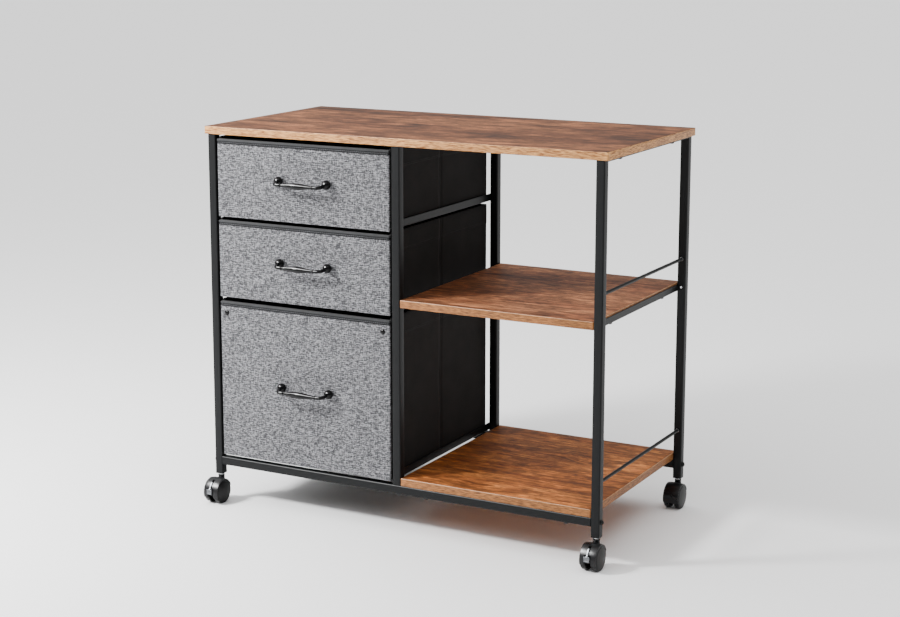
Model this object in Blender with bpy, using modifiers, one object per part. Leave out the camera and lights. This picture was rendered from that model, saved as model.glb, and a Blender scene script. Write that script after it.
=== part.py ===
"""Rolling drawer cabinet: a square-tube steel frame on four twin-wheel casters, three wood-grain
boards and three fabric drawers with cast handles.

Metres, +Z up, the drawers open towards -Y, and the floor is at Z = 0. The origin is under the
middle of the overall box.
"""

import math
from collections import namedtuple

import bmesh
import bpy
from mathutils import Matrix, Vector

# Boards
BOARD_WIDTH = 0.800
BOARD_DEPTH = 0.400
BOARD_THICKNESS = 0.014
BOARD_EDGE_ROUND = 0.0008
BOARD_SIDE_OVERHANG = 0.006
BOARD_END_OVERHANG = 0.002
LOWER_BAY_HEIGHT = 0.3107

# Steel frame
TUBE_SIZE = 0.016
TUBE_WALL = 0.0012
TUBE_CORNER = 0.0020
RAIL_RISE = 0.0185
ANGLE_LEG = 0.014
ANGLE_THICKNESS = 0.0015
ANGLE_BEND = 0.0022
RUNNER_INSET = 0.010
STRIP_THICKNESS = 0.003
SHELF_LIP = 0.0035
GUARD_ROD_DIAMETER = 0.006
GUARD_ROD_RISE = 0.0445
GUARD_COLLAR_DIAMETER = 0.0085
GUARD_COLLAR_LENGTH = 0.0025

# Drawers
SMALL_FRONT_HEIGHT = 0.1433
FILE_FRONT_HEIGHT = 0.2943
FILE_DRAWER_LIFT = 0.0055
MIDDLE_DRAWER_GAP = 0.0087
UPPER_DRAWER_GAP = 0.0067
TOP_DRAWER_GAP = 0.0077
DRAWER_SIDE_GAP = 0.0045
DRAWER_REAR_GAP = 0.003
FRONT_THICKNESS = 0.005
FRONT_EDGE_ROUND = 0.0012
SMALL_FRONT_SKIRT = 0.003
FILE_FRONT_SKIRT = 0.0003
BINDING_HEIGHT = 0.009
BINDING_PROUD = 0.0006
HEM_HEIGHT = 0.0365
HEM_PROUD = 0.0006
BIN_WALL = 0.0025
BIN_SIDE_INSET = 0.0010
BIN_CORNER = 0.003
BIN_SIDE_RISE = 0.0042
BASE_BOARD_THICKNESS = 0.003
BASE_BOARD_MARGIN = 0.0015
FILE_RAIL_DIAMETER = 0.005
FILE_RAIL_EDGE = 0.014
FILE_RAIL_DROP = 0.0208
FILE_HEAD_DIAMETER = 0.0098
FILE_HEAD_THICKNESS = 0.0026
# Crown of the head: share of its radius, share of its thickness
FILE_HEAD_CROWN = ((0, 1), (0.6, 0.9), (0.9, 0.55), (1, 0))

# Handles
HANDLE_SHIFT = 0.0065
HANDLE_CENTRES = 0.1008
HANDLE_REACH = 0.0277
HANDLE_DROP = 0.0033
HANDLE_END_INSET = 0.0027
HANDLE_BEND = 0.006
HANDLE_BALL_DIAMETER = 0.0168
HANDLE_BALL_STAND = 0.0072
HANDLE_BAR_DIAMETER = 0.0068
HANDLE_SWELL_DIAMETER = 0.0120
HANDLE_SWELL_LENGTH = 0.064
SMALL_HANDLE_RISE = 0.075
FILE_HANDLE_RISE = 0.1465

# Casters
WHEEL_RADIUS = 0.0225
WHEEL_STEPS = 24
WHEEL_TREAD = 0.0094
WHEEL_DOME = 0.0015
WHEEL_DOME_FLAT = 0.5
WHEEL_DOME_FLAT_FALL = 0.2
WHEEL_RIM = 0.0035
WHEEL_HUB_RADIUS = 0.006
CASTER_TRAIL = 0.014
AXLE_DIAMETER = 0.004
AXLE_END = 0.0020
HOOD_STEPS = 32
HOOD_GAP = 0.0008
HOOD_WALL = 0.0017
HOOD_WEB = 0.0098
HOOD_WEB_GAP = 0.0007
HOOD_REAR_ANGLE = 72
HOOD_FRONT_ANGLE = 110
HOOD_HUB_RADIUS = 0.0075
HOOD_CROWN_DROP = 0.0006
HOOD_CROWN_FLAT = 0.4
HOOD_CROWN_SHOULDER = 0.8
HOOD_OPENING_STEPS = 6
NECK_DIAMETER = 0.0125
NECK_HEIGHT = 0.0032
SOCKET_DEPTH = 0.0205
STEM_DIAMETER = 0.0068
COLLAR_DIAMETER = 0.0086
COLLAR_HEIGHT = 0.0027
SLEEVE_LENGTH = 0.022
SLEEVE_TIP = 0.7
LEVER_THICKNESS = 0.0009
LEVER_NECK_WIDTH = 0.0028
LEVER_TAB_WIDTH = 0.0104
LEVER_TAB_THICKNESS = 0.0013
LEVER_TAB_HEIGHT = 0.0095
LEVER_TAB_DROP = 0.0010
LEVER_STAND = 0.0014
LEVER_PIN_DIAMETER = 0.0018
LEVER_PIN_INSET = 0.0045
LEVER_SLOT_ANGLE = 22
LEVER_SLOT_END_ANGLE = 45
LEVER_PIVOT_ANGLE = 37
LEVER_REACH_ANGLE = 31
LEVER_BEND_START = 0.13
LEVER_BEND_STEPS = 3

# Running and seating clearances
CLEARANCE = 0.0003
LEVER_SWING_CLEARANCE = 0.0011
LEVER_SLOT_CLEARANCE = 0.0008

# Levels, worked upwards from the floor
HOOD_RADIUS = WHEEL_RADIUS + HOOD_GAP + HOOD_WALL
NECK_TOP = WHEEL_RADIUS + HOOD_RADIUS + NECK_HEIGHT
FOOT_Z = NECK_TOP + COLLAR_HEIGHT + 2 * CLEARANCE
RAIL_BOTTOM_Z = FOOT_Z + RAIL_RISE
RAIL_TOP_Z = RAIL_BOTTOM_Z + TUBE_SIZE
FILE_FRONT_Z = RAIL_TOP_Z + FILE_DRAWER_LIFT
MIDDLE_FRONT_Z = FILE_FRONT_Z + FILE_FRONT_HEIGHT + MIDDLE_DRAWER_GAP
UPPER_FRONT_Z = MIDDLE_FRONT_Z + SMALL_FRONT_HEIGHT + UPPER_DRAWER_GAP
POST_TOP_Z = UPPER_FRONT_Z + SMALL_FRONT_HEIGHT + TOP_DRAWER_GAP
BOARD_Z = POST_TOP_Z + CLEARANCE
BOTTOM_SHELF_Z = RAIL_TOP_Z + CLEARANCE
MIDDLE_SHELF_Z = BOTTOM_SHELF_Z + BOARD_THICKNESS + LOWER_BAY_HEIGHT

# Widths, from the middle out
FRAME_HALF = BOARD_WIDTH / 2 - BOARD_SIDE_OVERHANG
INNER_HALF = FRAME_HALF - TUBE_SIZE
BAY_WIDTH = INNER_HALF - TUBE_SIZE / 2
BAY_CENTRE_X = TUBE_SIZE / 2 + BAY_WIDTH / 2
FRONT_WIDTH = BAY_WIDTH - 2 * DRAWER_SIDE_GAP
BIN_WIDTH = FRONT_WIDTH - 2 * BIN_SIDE_INSET

# Depths: the overall box runs from the handle bars, or the brake levers, to the board's back edge
FRAME_DEPTH = BOARD_DEPTH - 2 * BOARD_END_OVERHANG
HANDLE_FRONT = HANDLE_REACH + HANDLE_SWELL_DIAMETER / 2 + CLEARANCE
LEVER_FRONT = CASTER_TRAIL + HOOD_RADIUS + LEVER_STAND + LEVER_THICKNESS - TUBE_SIZE / 2
FORWARD_REACH = max(HANDLE_FRONT, LEVER_FRONT)
FRONT_Y = FORWARD_REACH - (FORWARD_REACH + FRAME_DEPTH + BOARD_END_OVERHANG) / 2
REAR_Y = FRONT_Y + FRAME_DEPTH
BIN_FRONT_Y = FRONT_Y + FRONT_THICKNESS + CLEARANCE
BIN_REAR_Y = REAR_Y - TUBE_SIZE - DRAWER_REAR_GAP

Finish = namedtuple("Finish", "colour roughness metallic")
POWDER_COAT = Finish("3A3B3B", 0.45, 0.0)
WOOD = Finish("9A6A45", 0.50, 0.0)
LINEN = Finish("98989B", 0.95, 0.0)
FELT = Finish("1F1D1C", 0.95, 0.0)
FIBREBOARD = Finish("6B5238", 0.85, 0.0)
GLOSS_BLACK = Finish("0B0B0C", 0.18, 0.0)
ZINC = Finish("B9BBBD", 0.30, 1.0)
HOOD_PLASTIC = Finish("2A2A2D", 0.40, 0.0)
WHEEL_PLASTIC = Finish("1B1B1D", 0.50, 0.0)

Drawer = namedtuple("Drawer", "name front_z height skirt handle_rise files")
DRAWERS = (
    Drawer("upper_drawer", UPPER_FRONT_Z, SMALL_FRONT_HEIGHT, SMALL_FRONT_SKIRT, SMALL_HANDLE_RISE, False),
    Drawer("middle_drawer", MIDDLE_FRONT_Z, SMALL_FRONT_HEIGHT, SMALL_FRONT_SKIRT, SMALL_HANDLE_RISE, False),
    Drawer("file_drawer", FILE_FRONT_Z, FILE_FRONT_HEIGHT, FILE_FRONT_SKIRT, FILE_HANDLE_RISE, True),
)

ALONG_X = Matrix(((0, 0, 1, 0), (1, 0, 0, 0), (0, 1, 0, 0), (0, 0, 0, 1)))
ALONG_Y = Matrix.Rotation(math.radians(90), 4, "X")
ALONG_Z = Matrix.Identity(4)


# Scene and materials

def new_collection(name):
    group = bpy.data.collections.new(name)
    bpy.context.scene.collection.children.link(group)
    return group


def clear_scene():
    for obj in list(bpy.data.objects):
        bpy.data.objects.remove(obj)


def linear(channel):
    return channel / 12.92 if channel <= 0.04045 else ((channel + 0.055) / 1.055) ** 2.4


def make_material(name, finish):
    material = bpy.data.materials.new(name)
    material.use_nodes = True
    shader = material.node_tree.nodes["Principled BSDF"]
    rgb = [linear(int(finish.colour[i:i + 2], 16) / 255) for i in (0, 2, 4)]
    shader.inputs["Base Color"].default_value = (*rgb, 1)
    shader.inputs["Roughness"].default_value = finish.roughness
    shader.inputs["Metallic"].default_value = finish.metallic
    material.diffuse_color = (*rgb, 1)
    return material


def add_piece(name, data, finish, place=(0, 0, 0), turn=ALONG_Z, parent=None):
    """Adds a named part at a place given in world space, under its parent empty if it has one."""
    obj = bpy.data.objects.new(name, data)
    PARTS.objects.link(obj)
    data.materials.clear()
    data.materials.append(make_material(name, finish))
    origin = parent.location if parent else Vector((0, 0, 0))
    obj.parent = parent
    obj.matrix_basis = Matrix.Translation(Vector(place) - origin) @ turn
    return obj


def add_empty(name, place, parent=None):
    """Adds an empty on the axis that its pieces move about."""
    empty = bpy.data.objects.new(name, None)
    PARTS.objects.link(empty)
    empty.empty_display_size = 0.02
    empty.parent = parent
    empty.location = Vector(place)
    return empty


# Shapes

def box_mesh(name, size):
    """A box centred on its origin, with its size in the mesh and no scale on the object."""
    mesh = bpy.data.meshes.new(name)
    work = bmesh.new()
    bmesh.ops.create_cube(work, size=1)
    bmesh.ops.scale(work, vec=Vector(size), verts=work.verts)
    work.to_mesh(mesh)
    work.free()
    return mesh


def add_box(name, low, high, finish, parent=None, rounding=0):
    low, high = Vector(low), Vector(high)
    obj = add_piece(name, box_mesh(name, high - low), finish, (low + high) / 2, parent=parent)
    if rounding:
        bevel = obj.modifiers.new("Rounded edges", "BEVEL")
        bevel.width = rounding
        bevel.segments = 2
    return obj


def cutter(data, place=(0, 0, 0), turn=ALONG_Z):
    obj = bpy.data.objects.new(data.name, data)
    CUTTERS.objects.link(obj)
    obj.matrix_basis = Matrix.Translation(Vector(place)) @ turn
    obj.hide_render = True
    obj.display_type = "WIRE"
    return obj


def box_cutter(name, low, high):
    low, high = Vector(low), Vector(high)
    return cutter(box_mesh(name, high - low), (low + high) / 2)


def cylinder_mesh(name, diameter, length, sides=24):
    mesh = bpy.data.meshes.new(name)
    work = bmesh.new()
    bmesh.ops.create_cone(
        work, cap_ends=True, segments=sides, radius1=diameter / 2, radius2=diameter / 2, depth=length
    )
    work.to_mesh(mesh)
    work.free()
    return mesh


def combine(obj, other, operation):
    modifier = obj.modifiers.new(other.name, "BOOLEAN")
    modifier.operation = operation
    modifier.object = other
    modifier.solver = "EXACT"


def arc(centre, radius, start, end, steps):
    """Points on an arc in a plane, from start to end in degrees, counted from the first axis."""
    angles = [math.radians(start + (end - start) * i / steps) for i in range(steps + 1)]
    return [(centre[0] + radius * math.cos(a), centre[1] + radius * math.sin(a)) for a in angles]


def rounded_square(size, corner, steps=3):
    half = size / 2 - corner
    centres = ((half, half), (-half, half), (-half, -half), (half, -half))
    points = []
    for quarter, centre in enumerate(centres):
        points += arc(centre, corner, 90 * quarter, 90 * (quarter + 1), steps)
    return points


def flat_curve(name, outlines, length):
    """A 2D curve filled between its closed outlines and extruded along its own Z."""
    data = bpy.data.curves.new(name, "CURVE")
    data.dimensions = "2D"
    data.fill_mode = "BOTH"
    data.extrude = length / 2
    for points in outlines:
        spline = data.splines.new("POLY")
        spline.points.add(len(points) - 1)
        spline.points.foreach_set("co", [c for x, y in points for c in (x, y, 0, 1)])
        spline.use_cyclic_u = True
    return data


def evaluated_mesh(name, data, turn=ALONG_Z, modifiers=()):
    """Turns a curve or a mesh with modifiers into one welded mesh, with its turn in the mesh."""
    obj = bpy.data.objects.new(name, data)
    bpy.context.scene.collection.objects.link(obj)
    for add in modifiers:
        add(obj)
    bpy.context.view_layer.update()
    graph = bpy.context.evaluated_depsgraph_get()
    mesh = bpy.data.meshes.new_from_object(obj.evaluated_get(graph))
    bpy.data.objects.remove(obj)
    mesh.name = name
    mesh.transform(turn)
    work = bmesh.new()
    work.from_mesh(mesh)
    bmesh.ops.remove_doubles(work, verts=work.verts, dist=1e-6)
    bmesh.ops.recalc_face_normals(work, faces=work.faces)
    work.to_mesh(mesh)
    work.free()
    return mesh


def merged(name, first, *steps):
    """Joins and cuts meshes in turn: each step is an operation, a mesh and its place."""
    helpers = []

    def add_steps(obj):
        for operation, mesh, place in steps:
            helpers.append(cutter(mesh, place))
            combine(obj, helpers[-1], operation)

    made = evaluated_mesh(name, first, modifiers=[add_steps])
    for helper in helpers:
        bpy.data.objects.remove(helper)
    return made


def smooth(mesh, angle=35):
    mesh.shade_smooth()
    mesh.set_sharp_from_angle(angle=math.radians(angle))
    return mesh


def lathe(name, profile, steps, turn=ALONG_Z):
    """Turns a profile of (radius, height) points, listed top to bottom, about its own Z."""
    mesh = bpy.data.meshes.new(name)
    mesh.from_pydata([(r, 0, z) for r, z in profile], [(i, i + 1) for i in range(len(profile) - 1)], [])

    def add_screw(obj):
        screw = obj.modifiers.new("Turned", "SCREW")
        screw.axis = "Z"
        screw.steps = screw.render_steps = steps
        screw.use_merge_vertices = True
        screw.merge_threshold = 0.00001

    return smooth(evaluated_mesh(name, mesh, turn, [add_screw]))


# Steel frame

def tube_data(name, length):
    """Square tube with round corners, open at both ends."""
    outer = rounded_square(TUBE_SIZE, TUBE_CORNER)
    inner = rounded_square(TUBE_SIZE - 2 * TUBE_WALL, TUBE_CORNER - TUBE_WALL, 1)
    return flat_curve(name, [outer, inner], length)


def angle_outline(upright, level, side):
    """Section of a bent angle: its level leg runs from the bend to side +1 or -1, at the bottom."""
    bend, inside = ANGLE_BEND, ANGLE_BEND - ANGLE_THICKNESS
    outer = arc((bend, bend), bend, 180, 270, 3)
    inner = arc((bend, bend), inside, 270, 180, 2)
    points = [(0, upright)] + outer + [(level, 0), (level, ANGLE_THICKNESS)] + inner
    points.append((ANGLE_THICKNESS, upright))
    return [(side * x, y) for x, y in points]


def add_posts():
    columns = (("left", -FRAME_HALF + TUBE_SIZE / 2, FOOT_Z),
               ("middle", 0.0, RAIL_TOP_Z + CLEARANCE),
               ("right", FRAME_HALF - TUBE_SIZE / 2, FOOT_Z))
    rows = (("front", FRONT_Y + TUBE_SIZE / 2), ("rear", REAR_Y - TUBE_SIZE / 2))
    for row, y in rows:
        for column, x, z in columns:
            name = f"{row}_{column}_post"
            add_piece(name, tube_data(name, POST_TOP_Z - z), POWDER_COAT, (x, y, (z + POST_TOP_Z) / 2))
        name = f"{row}_bottom_rail"
        length = 2 * (INNER_HALF - CLEARANCE)
        add_piece(name, tube_data(name, length), POWDER_COAT, (0, y, RAIL_BOTTOM_Z + TUBE_SIZE / 2), ALONG_X)


def add_top_strips():
    for name, x in (("left", -1), ("middle", 0), ("right", 1)):
        centre = x * (FRAME_HALF - TUBE_SIZE / 2)
        low = (centre - TUBE_SIZE / 2, FRONT_Y + TUBE_SIZE + CLEARANCE, POST_TOP_Z - STRIP_THICKNESS)
        high = (centre + TUBE_SIZE / 2, REAR_Y - TUBE_SIZE - CLEARANCE, POST_TOP_Z)
        add_box(f"{name}_top_strip", low, high, POWDER_COAT)


def add_runners():
    """Angles on the posts' faces towards the drawers: each drawer rests on the level legs."""
    front, rear = FRONT_Y + RUNNER_INSET, REAR_Y - RUNNER_INSET
    sides = (("left", -INNER_HALF + CLEARANCE, 1), ("middle", -TUBE_SIZE / 2 - CLEARANCE, -1))
    for drawer in DRAWERS:
        for side, x, towards in sides:
            name = f"{drawer.name}_{side}_runner"
            outline = angle_outline(ANGLE_LEG, ANGLE_LEG, towards)
            data = flat_curve(name, [outline], rear - front)
            add_piece(name, data, POWDER_COAT, (x, (front + rear) / 2, drawer.front_z + drawer.skirt), ALONG_Y)


def add_shelf_rails():
    """Angles between the posts, with the middle shelf lying in them."""
    front, rear = FRONT_Y + TUBE_SIZE + CLEARANCE, REAR_Y - TUBE_SIZE - CLEARANCE
    bottom = MIDDLE_SHELF_Z - CLEARANCE - ANGLE_THICKNESS
    upright = MIDDLE_SHELF_Z + BOARD_THICKNESS - SHELF_LIP - bottom
    middle_x = TUBE_SIZE / 2 - CLEARANCE - ANGLE_THICKNESS
    right_x = INNER_HALF + CLEARANCE + ANGLE_THICKNESS
    for side, x, towards in (("middle", middle_x, 1), ("right", right_x, -1)):
        name = f"{side}_shelf_rail"
        data = flat_curve(name, [angle_outline(upright, ANGLE_LEG, towards)], rear - front)
        add_piece(name, data, POWDER_COAT, (x, (front + rear) / 2, bottom), ALONG_Y)


def add_guard_rods():
    length = FRAME_DEPTH - 2 * (TUBE_SIZE + CLEARANCE)
    rod, collar = GUARD_ROD_DIAMETER / 2, GUARD_COLLAR_DIAMETER / 2
    half, shoulder = length / 2, length / 2 - GUARD_COLLAR_LENGTH
    profile = [(0, half), (collar, half), (collar, shoulder), (rod, shoulder),
               (rod, -shoulder), (collar, -shoulder), (collar, -half), (0, -half)]
    for level, shelf_z in (("lower", BOTTOM_SHELF_Z), ("upper", MIDDLE_SHELF_Z)):
        name = f"{level}_guard_rod"
        z = shelf_z + BOARD_THICKNESS + GUARD_ROD_RISE
        place = (FRAME_HALF - TUBE_SIZE / 2, (FRONT_Y + REAR_Y) / 2, z)
        add_piece(name, lathe(name, profile, 16), POWDER_COAT, place, ALONG_Y)


def add_boards():
    half, depth = BOARD_WIDTH / 2, (FRONT_Y - BOARD_END_OVERHANG, REAR_Y + BOARD_END_OVERHANG)
    add_box("top_board", (-half, depth[0], BOARD_Z), (half, depth[1], BOARD_Z + BOARD_THICKNESS),
            WOOD, rounding=BOARD_EDGE_ROUND)
    left, right = TUBE_SIZE / 2 + CLEARANCE, INNER_HALF - CLEARANCE
    for name, z in (("middle_shelf", MIDDLE_SHELF_Z), ("bottom_shelf", BOTTOM_SHELF_Z)):
        high = (right, REAR_Y, z + BOARD_THICKNESS)
        add_box(name, (left, FRONT_Y, z), high, WOOD, rounding=BOARD_EDGE_ROUND)


# Drawers

def handle_path():
    """The bar's centreline from one ball to the other: out along a leg, round a bend, and across."""
    half = HANDLE_CENTRES / 2
    end = half - HANDLE_END_INSET
    foot = Vector((-half, -HANDLE_BALL_STAND, 0))
    corner = Vector((-end, -HANDLE_REACH, -HANDLE_DROP))
    start = corner + (foot - corner).normalized() * HANDLE_BEND
    stop = corner + Vector((HANDLE_BEND, 0, 0))
    points = [foot]
    for i in range(4):
        t = i / 3
        points.append(start.lerp(corner, t).lerp(corner.lerp(stop, t), t))
    swell = HANDLE_SWELL_LENGTH / 2
    points += [Vector((-swell * (1 - i / 5), -HANDLE_REACH, -HANDLE_DROP)) for i in range(5)]
    mirror = [Vector((-p.x, p.y, p.z)) for p in reversed(points)]
    return points + [Vector((0, -HANDLE_REACH, -HANDLE_DROP))] + mirror


def handle_radius(x):
    """The bar swells towards its middle as a raised cosine."""
    swell = HANDLE_SWELL_LENGTH / 2
    share = max(0.0, 1 - abs(x) / swell)
    growth = HANDLE_SWELL_DIAMETER - HANDLE_BAR_DIAMETER
    return (HANDLE_BAR_DIAMETER + growth * (1 - math.cos(math.pi * share)) / 2) / 2


def handle_mesh():
    """Cast pull: two ball feet, short legs, and a bar that is thicker in its middle."""
    curve = bpy.data.curves.new("handle_bar", "CURVE")
    curve.dimensions = "3D"
    curve.bevel_depth = 1.0
    curve.bevel_resolution = 3
    curve.use_fill_caps = True
    points = handle_path()
    spline = curve.splines.new("POLY")
    spline.points.add(len(points) - 1)
    for target, point in zip(spline.points, points):
        target.co = (*point, 1)
        target.radius = handle_radius(point.x)
    bar = evaluated_mesh("handle_bar", curve)
    steps = []
    for side in (-1, 1):
        ball = bpy.data.meshes.new("handle_ball")
        work = bmesh.new()
        bmesh.ops.create_uvsphere(work, u_segments=16, v_segments=10, radius=HANDLE_BALL_DIAMETER / 2)
        work.to_mesh(ball)
        work.free()
        steps.append(("UNION", ball, (side * HANDLE_CENTRES / 2, -HANDLE_BALL_STAND, 0)))
    back = box_mesh("handle_back", (2 * HANDLE_CENTRES, HANDLE_BALL_DIAMETER, HANDLE_CENTRES))
    steps.append(("DIFFERENCE", back, (0, HANDLE_BALL_DIAMETER / 2, 0)))
    return smooth(merged("handle", bar, *steps), 50)


def file_rail_mesh(length):
    """A round rail whose head shows on the drawer's front; its own Z runs towards the front."""
    rod, head = FILE_RAIL_DIAMETER / 2, FILE_HEAD_DIAMETER / 2
    crown = [(head * r, FILE_HEAD_THICKNESS * z) for r, z in FILE_HEAD_CROWN]
    return lathe("file_rail", crown + [(rod, 0), (rod, -length), (0, -length)], 16)


def rail_places(drawer, y):
    z = drawer.front_z + drawer.height - FILE_RAIL_DROP
    for side, sign in (("left", -1), ("right", 1)):
        yield side, (-BAY_CENTRE_X + sign * (FRONT_WIDTH / 2 - FILE_RAIL_EDGE), y, z)


def add_bin(drawer, parent):
    """Fabric box whose sides stand higher than its front, with a folded hem and a front binding."""
    name, top = f"{drawer.name}_bin", drawer.front_z + drawer.height
    side_top = top + BIN_SIDE_RISE
    bottom = drawer.front_z + drawer.skirt + ANGLE_THICKNESS + CLEARANCE
    x0, x1 = -BAY_CENTRE_X - BIN_WIDTH / 2, -BAY_CENTRE_X + BIN_WIDTH / 2
    front_inside = BIN_FRONT_Y + BIN_WALL
    obj = add_box(name, (x0, BIN_FRONT_Y, bottom), (x1, BIN_REAR_Y, side_top - HEM_HEIGHT / 2), FELT, parent)
    corner = obj.modifiers.new("Soft corners", "BEVEL")
    corner.width = BIN_CORNER
    corner.segments = 2
    hem = box_cutter(name + "_hem", (x0 - HEM_PROUD, BIN_FRONT_Y, side_top - HEM_HEIGHT),
                     (x1 + HEM_PROUD, BIN_REAR_Y + HEM_PROUD, side_top))
    step = box_cutter(name + "_step", (x0 - BIN_WALL, FRONT_Y, top - BINDING_HEIGHT / 2),
                      (x1 + BIN_WALL, front_inside + BINDING_PROUD / 2, side_top + BIN_WALL))
    binding = box_cutter(name + "_binding",
                         (x0 - BIN_SIDE_INSET, FRONT_Y - BINDING_PROUD, top - BINDING_HEIGHT),
                         (x1 + BIN_SIDE_INSET, front_inside + BINDING_PROUD, top))
    inside = box_cutter(name + "_inside", (x0 + BIN_WALL, front_inside, bottom + BIN_WALL),
                        (x1 - BIN_WALL, BIN_REAR_Y - BIN_WALL, side_top + BIN_WALL))
    combine(obj, hem, "UNION")
    combine(obj, step, "DIFFERENCE")
    combine(obj, binding, "UNION")
    combine(obj, inside, "DIFFERENCE")
    if drawer.files:
        hole = FILE_RAIL_DIAMETER + 2 * CLEARANCE
        for side, place in rail_places(drawer, (FRONT_Y + BIN_REAR_Y) / 2):
            drill = cylinder_mesh(f"{name}_{side}_hole", hole, BIN_REAR_Y - FRONT_Y + 2 * FRONT_THICKNESS, 16)
            combine(obj, cutter(drill, place, ALONG_Y), "DIFFERENCE")
    inner = [(x0 + BIN_WALL, front_inside), (x1 - BIN_WALL, BIN_REAR_Y - BIN_WALL)]
    low = (inner[0][0] + BASE_BOARD_MARGIN, inner[0][1] + BASE_BOARD_MARGIN, bottom + BIN_WALL + CLEARANCE)
    high = (inner[1][0] - BASE_BOARD_MARGIN, inner[1][1] - BASE_BOARD_MARGIN, low[2] + BASE_BOARD_THICKNESS)
    add_box(f"{drawer.name}_base_board", low, high, FIBREBOARD, parent)


def add_front(drawer, parent):
    """Stiff panel wrapped in linen, under the binding."""
    name = f"{drawer.name}_front_panel"
    x0, x1 = -BAY_CENTRE_X - FRONT_WIDTH / 2, -BAY_CENTRE_X + FRONT_WIDTH / 2
    top = drawer.front_z + drawer.height - BINDING_HEIGHT - CLEARANCE
    obj = add_box(name, (x0, FRONT_Y, drawer.front_z), (x1, FRONT_Y + FRONT_THICKNESS, top),
                  LINEN, parent, FRONT_EDGE_ROUND)
    if drawer.files:
        hole = FILE_RAIL_DIAMETER + 2 * CLEARANCE
        for side, place in rail_places(drawer, FRONT_Y + FRONT_THICKNESS / 2):
            drill = cylinder_mesh(f"{name}_{side}_hole", hole, 4 * FRONT_THICKNESS, 16)
            combine(obj, cutter(drill, place, ALONG_Y), "DIFFERENCE")


def add_drawers():
    handle = handle_mesh()
    for drawer in DRAWERS:
        empty = add_empty(f"{drawer.name}_slide", (-BAY_CENTRE_X, FRONT_Y, drawer.front_z))
        add_bin(drawer, empty)
        add_front(drawer, empty)
        place = (HANDLE_SHIFT - BAY_CENTRE_X, FRONT_Y - CLEARANCE, drawer.front_z + drawer.handle_rise)
        add_piece(f"{drawer.name}_handle", handle.copy(), GLOSS_BLACK, place, parent=empty)
        if drawer.files:
            rail = file_rail_mesh(BIN_REAR_Y - FRONT_Y + CLEARANCE)
            for side, place in rail_places(drawer, FRONT_Y - CLEARANCE):
                add_piece(f"{side}_file_rail", rail.copy(), GLOSS_BLACK, place, ALONG_Y, empty)


# Casters, each modelled about its stem's axis at the floor

WHEEL_INNER_X = HOOD_WEB / 2 + HOOD_WEB_GAP
WHEEL_OUTER_X = WHEEL_INNER_X + WHEEL_TREAD
HUB = Vector((0, -CASTER_TRAIL, WHEEL_RADIUS))
SIDEWAYS = Matrix.Rotation(math.radians(90), 4, "Y")


def wheel_mesh():
    """Dished wheel with a domed outer face, standing on a flat facet of its tread."""
    radius = WHEEL_RADIUS / math.cos(math.pi / WHEEL_STEPS)
    bore = AXLE_DIAMETER / 2 + CLEARANCE
    inner, outer, cap = WHEEL_INNER_X, WHEEL_OUTER_X, WHEEL_OUTER_X + WHEEL_DOME
    dish = outer - WHEEL_RIM
    chamfer = WHEEL_RIM / 4
    flat = (WHEEL_DOME_FLAT * radius, cap - WHEEL_DOME_FLAT_FALL * WHEEL_DOME)
    profile = [(0, cap), flat, (radius - 3 * chamfer, outer),
               (radius, outer - 2 * chamfer), (radius, inner), (radius - WHEEL_RIM, inner),
               (radius - WHEEL_RIM, dish), (WHEEL_HUB_RADIUS, dish), (WHEEL_HUB_RADIUS, inner), (bore, inner),
               (bore, outer - AXLE_END), (0, outer - AXLE_END)]
    half_step = Matrix.Rotation(math.pi / WHEEL_STEPS, 4, "X")
    return lathe("wheel", profile, WHEEL_STEPS, half_step @ SIDEWAYS)


def around_hub(angle, radius):
    """(y, z) of a point about the axle: angle in degrees from straight up towards the front."""
    turn = math.radians(angle)
    return HUB.y - radius * math.sin(turn), HUB.z + radius * math.cos(turn)


TAB_TOP = HUB.z + LEVER_TAB_HEIGHT - LEVER_TAB_DROP
LEVER_PIVOT = Vector((0, *around_hub(LEVER_PIVOT_ANGLE, WHEEL_RADIUS + HOOD_GAP - LEVER_PIN_INSET / 2)))


def side_plate(name, outline, width):
    """A plate across the caster from its side outline of (y, z) points."""
    return evaluated_mesh(name, flat_curve(name, [outline], width), ALONG_X)


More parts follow.
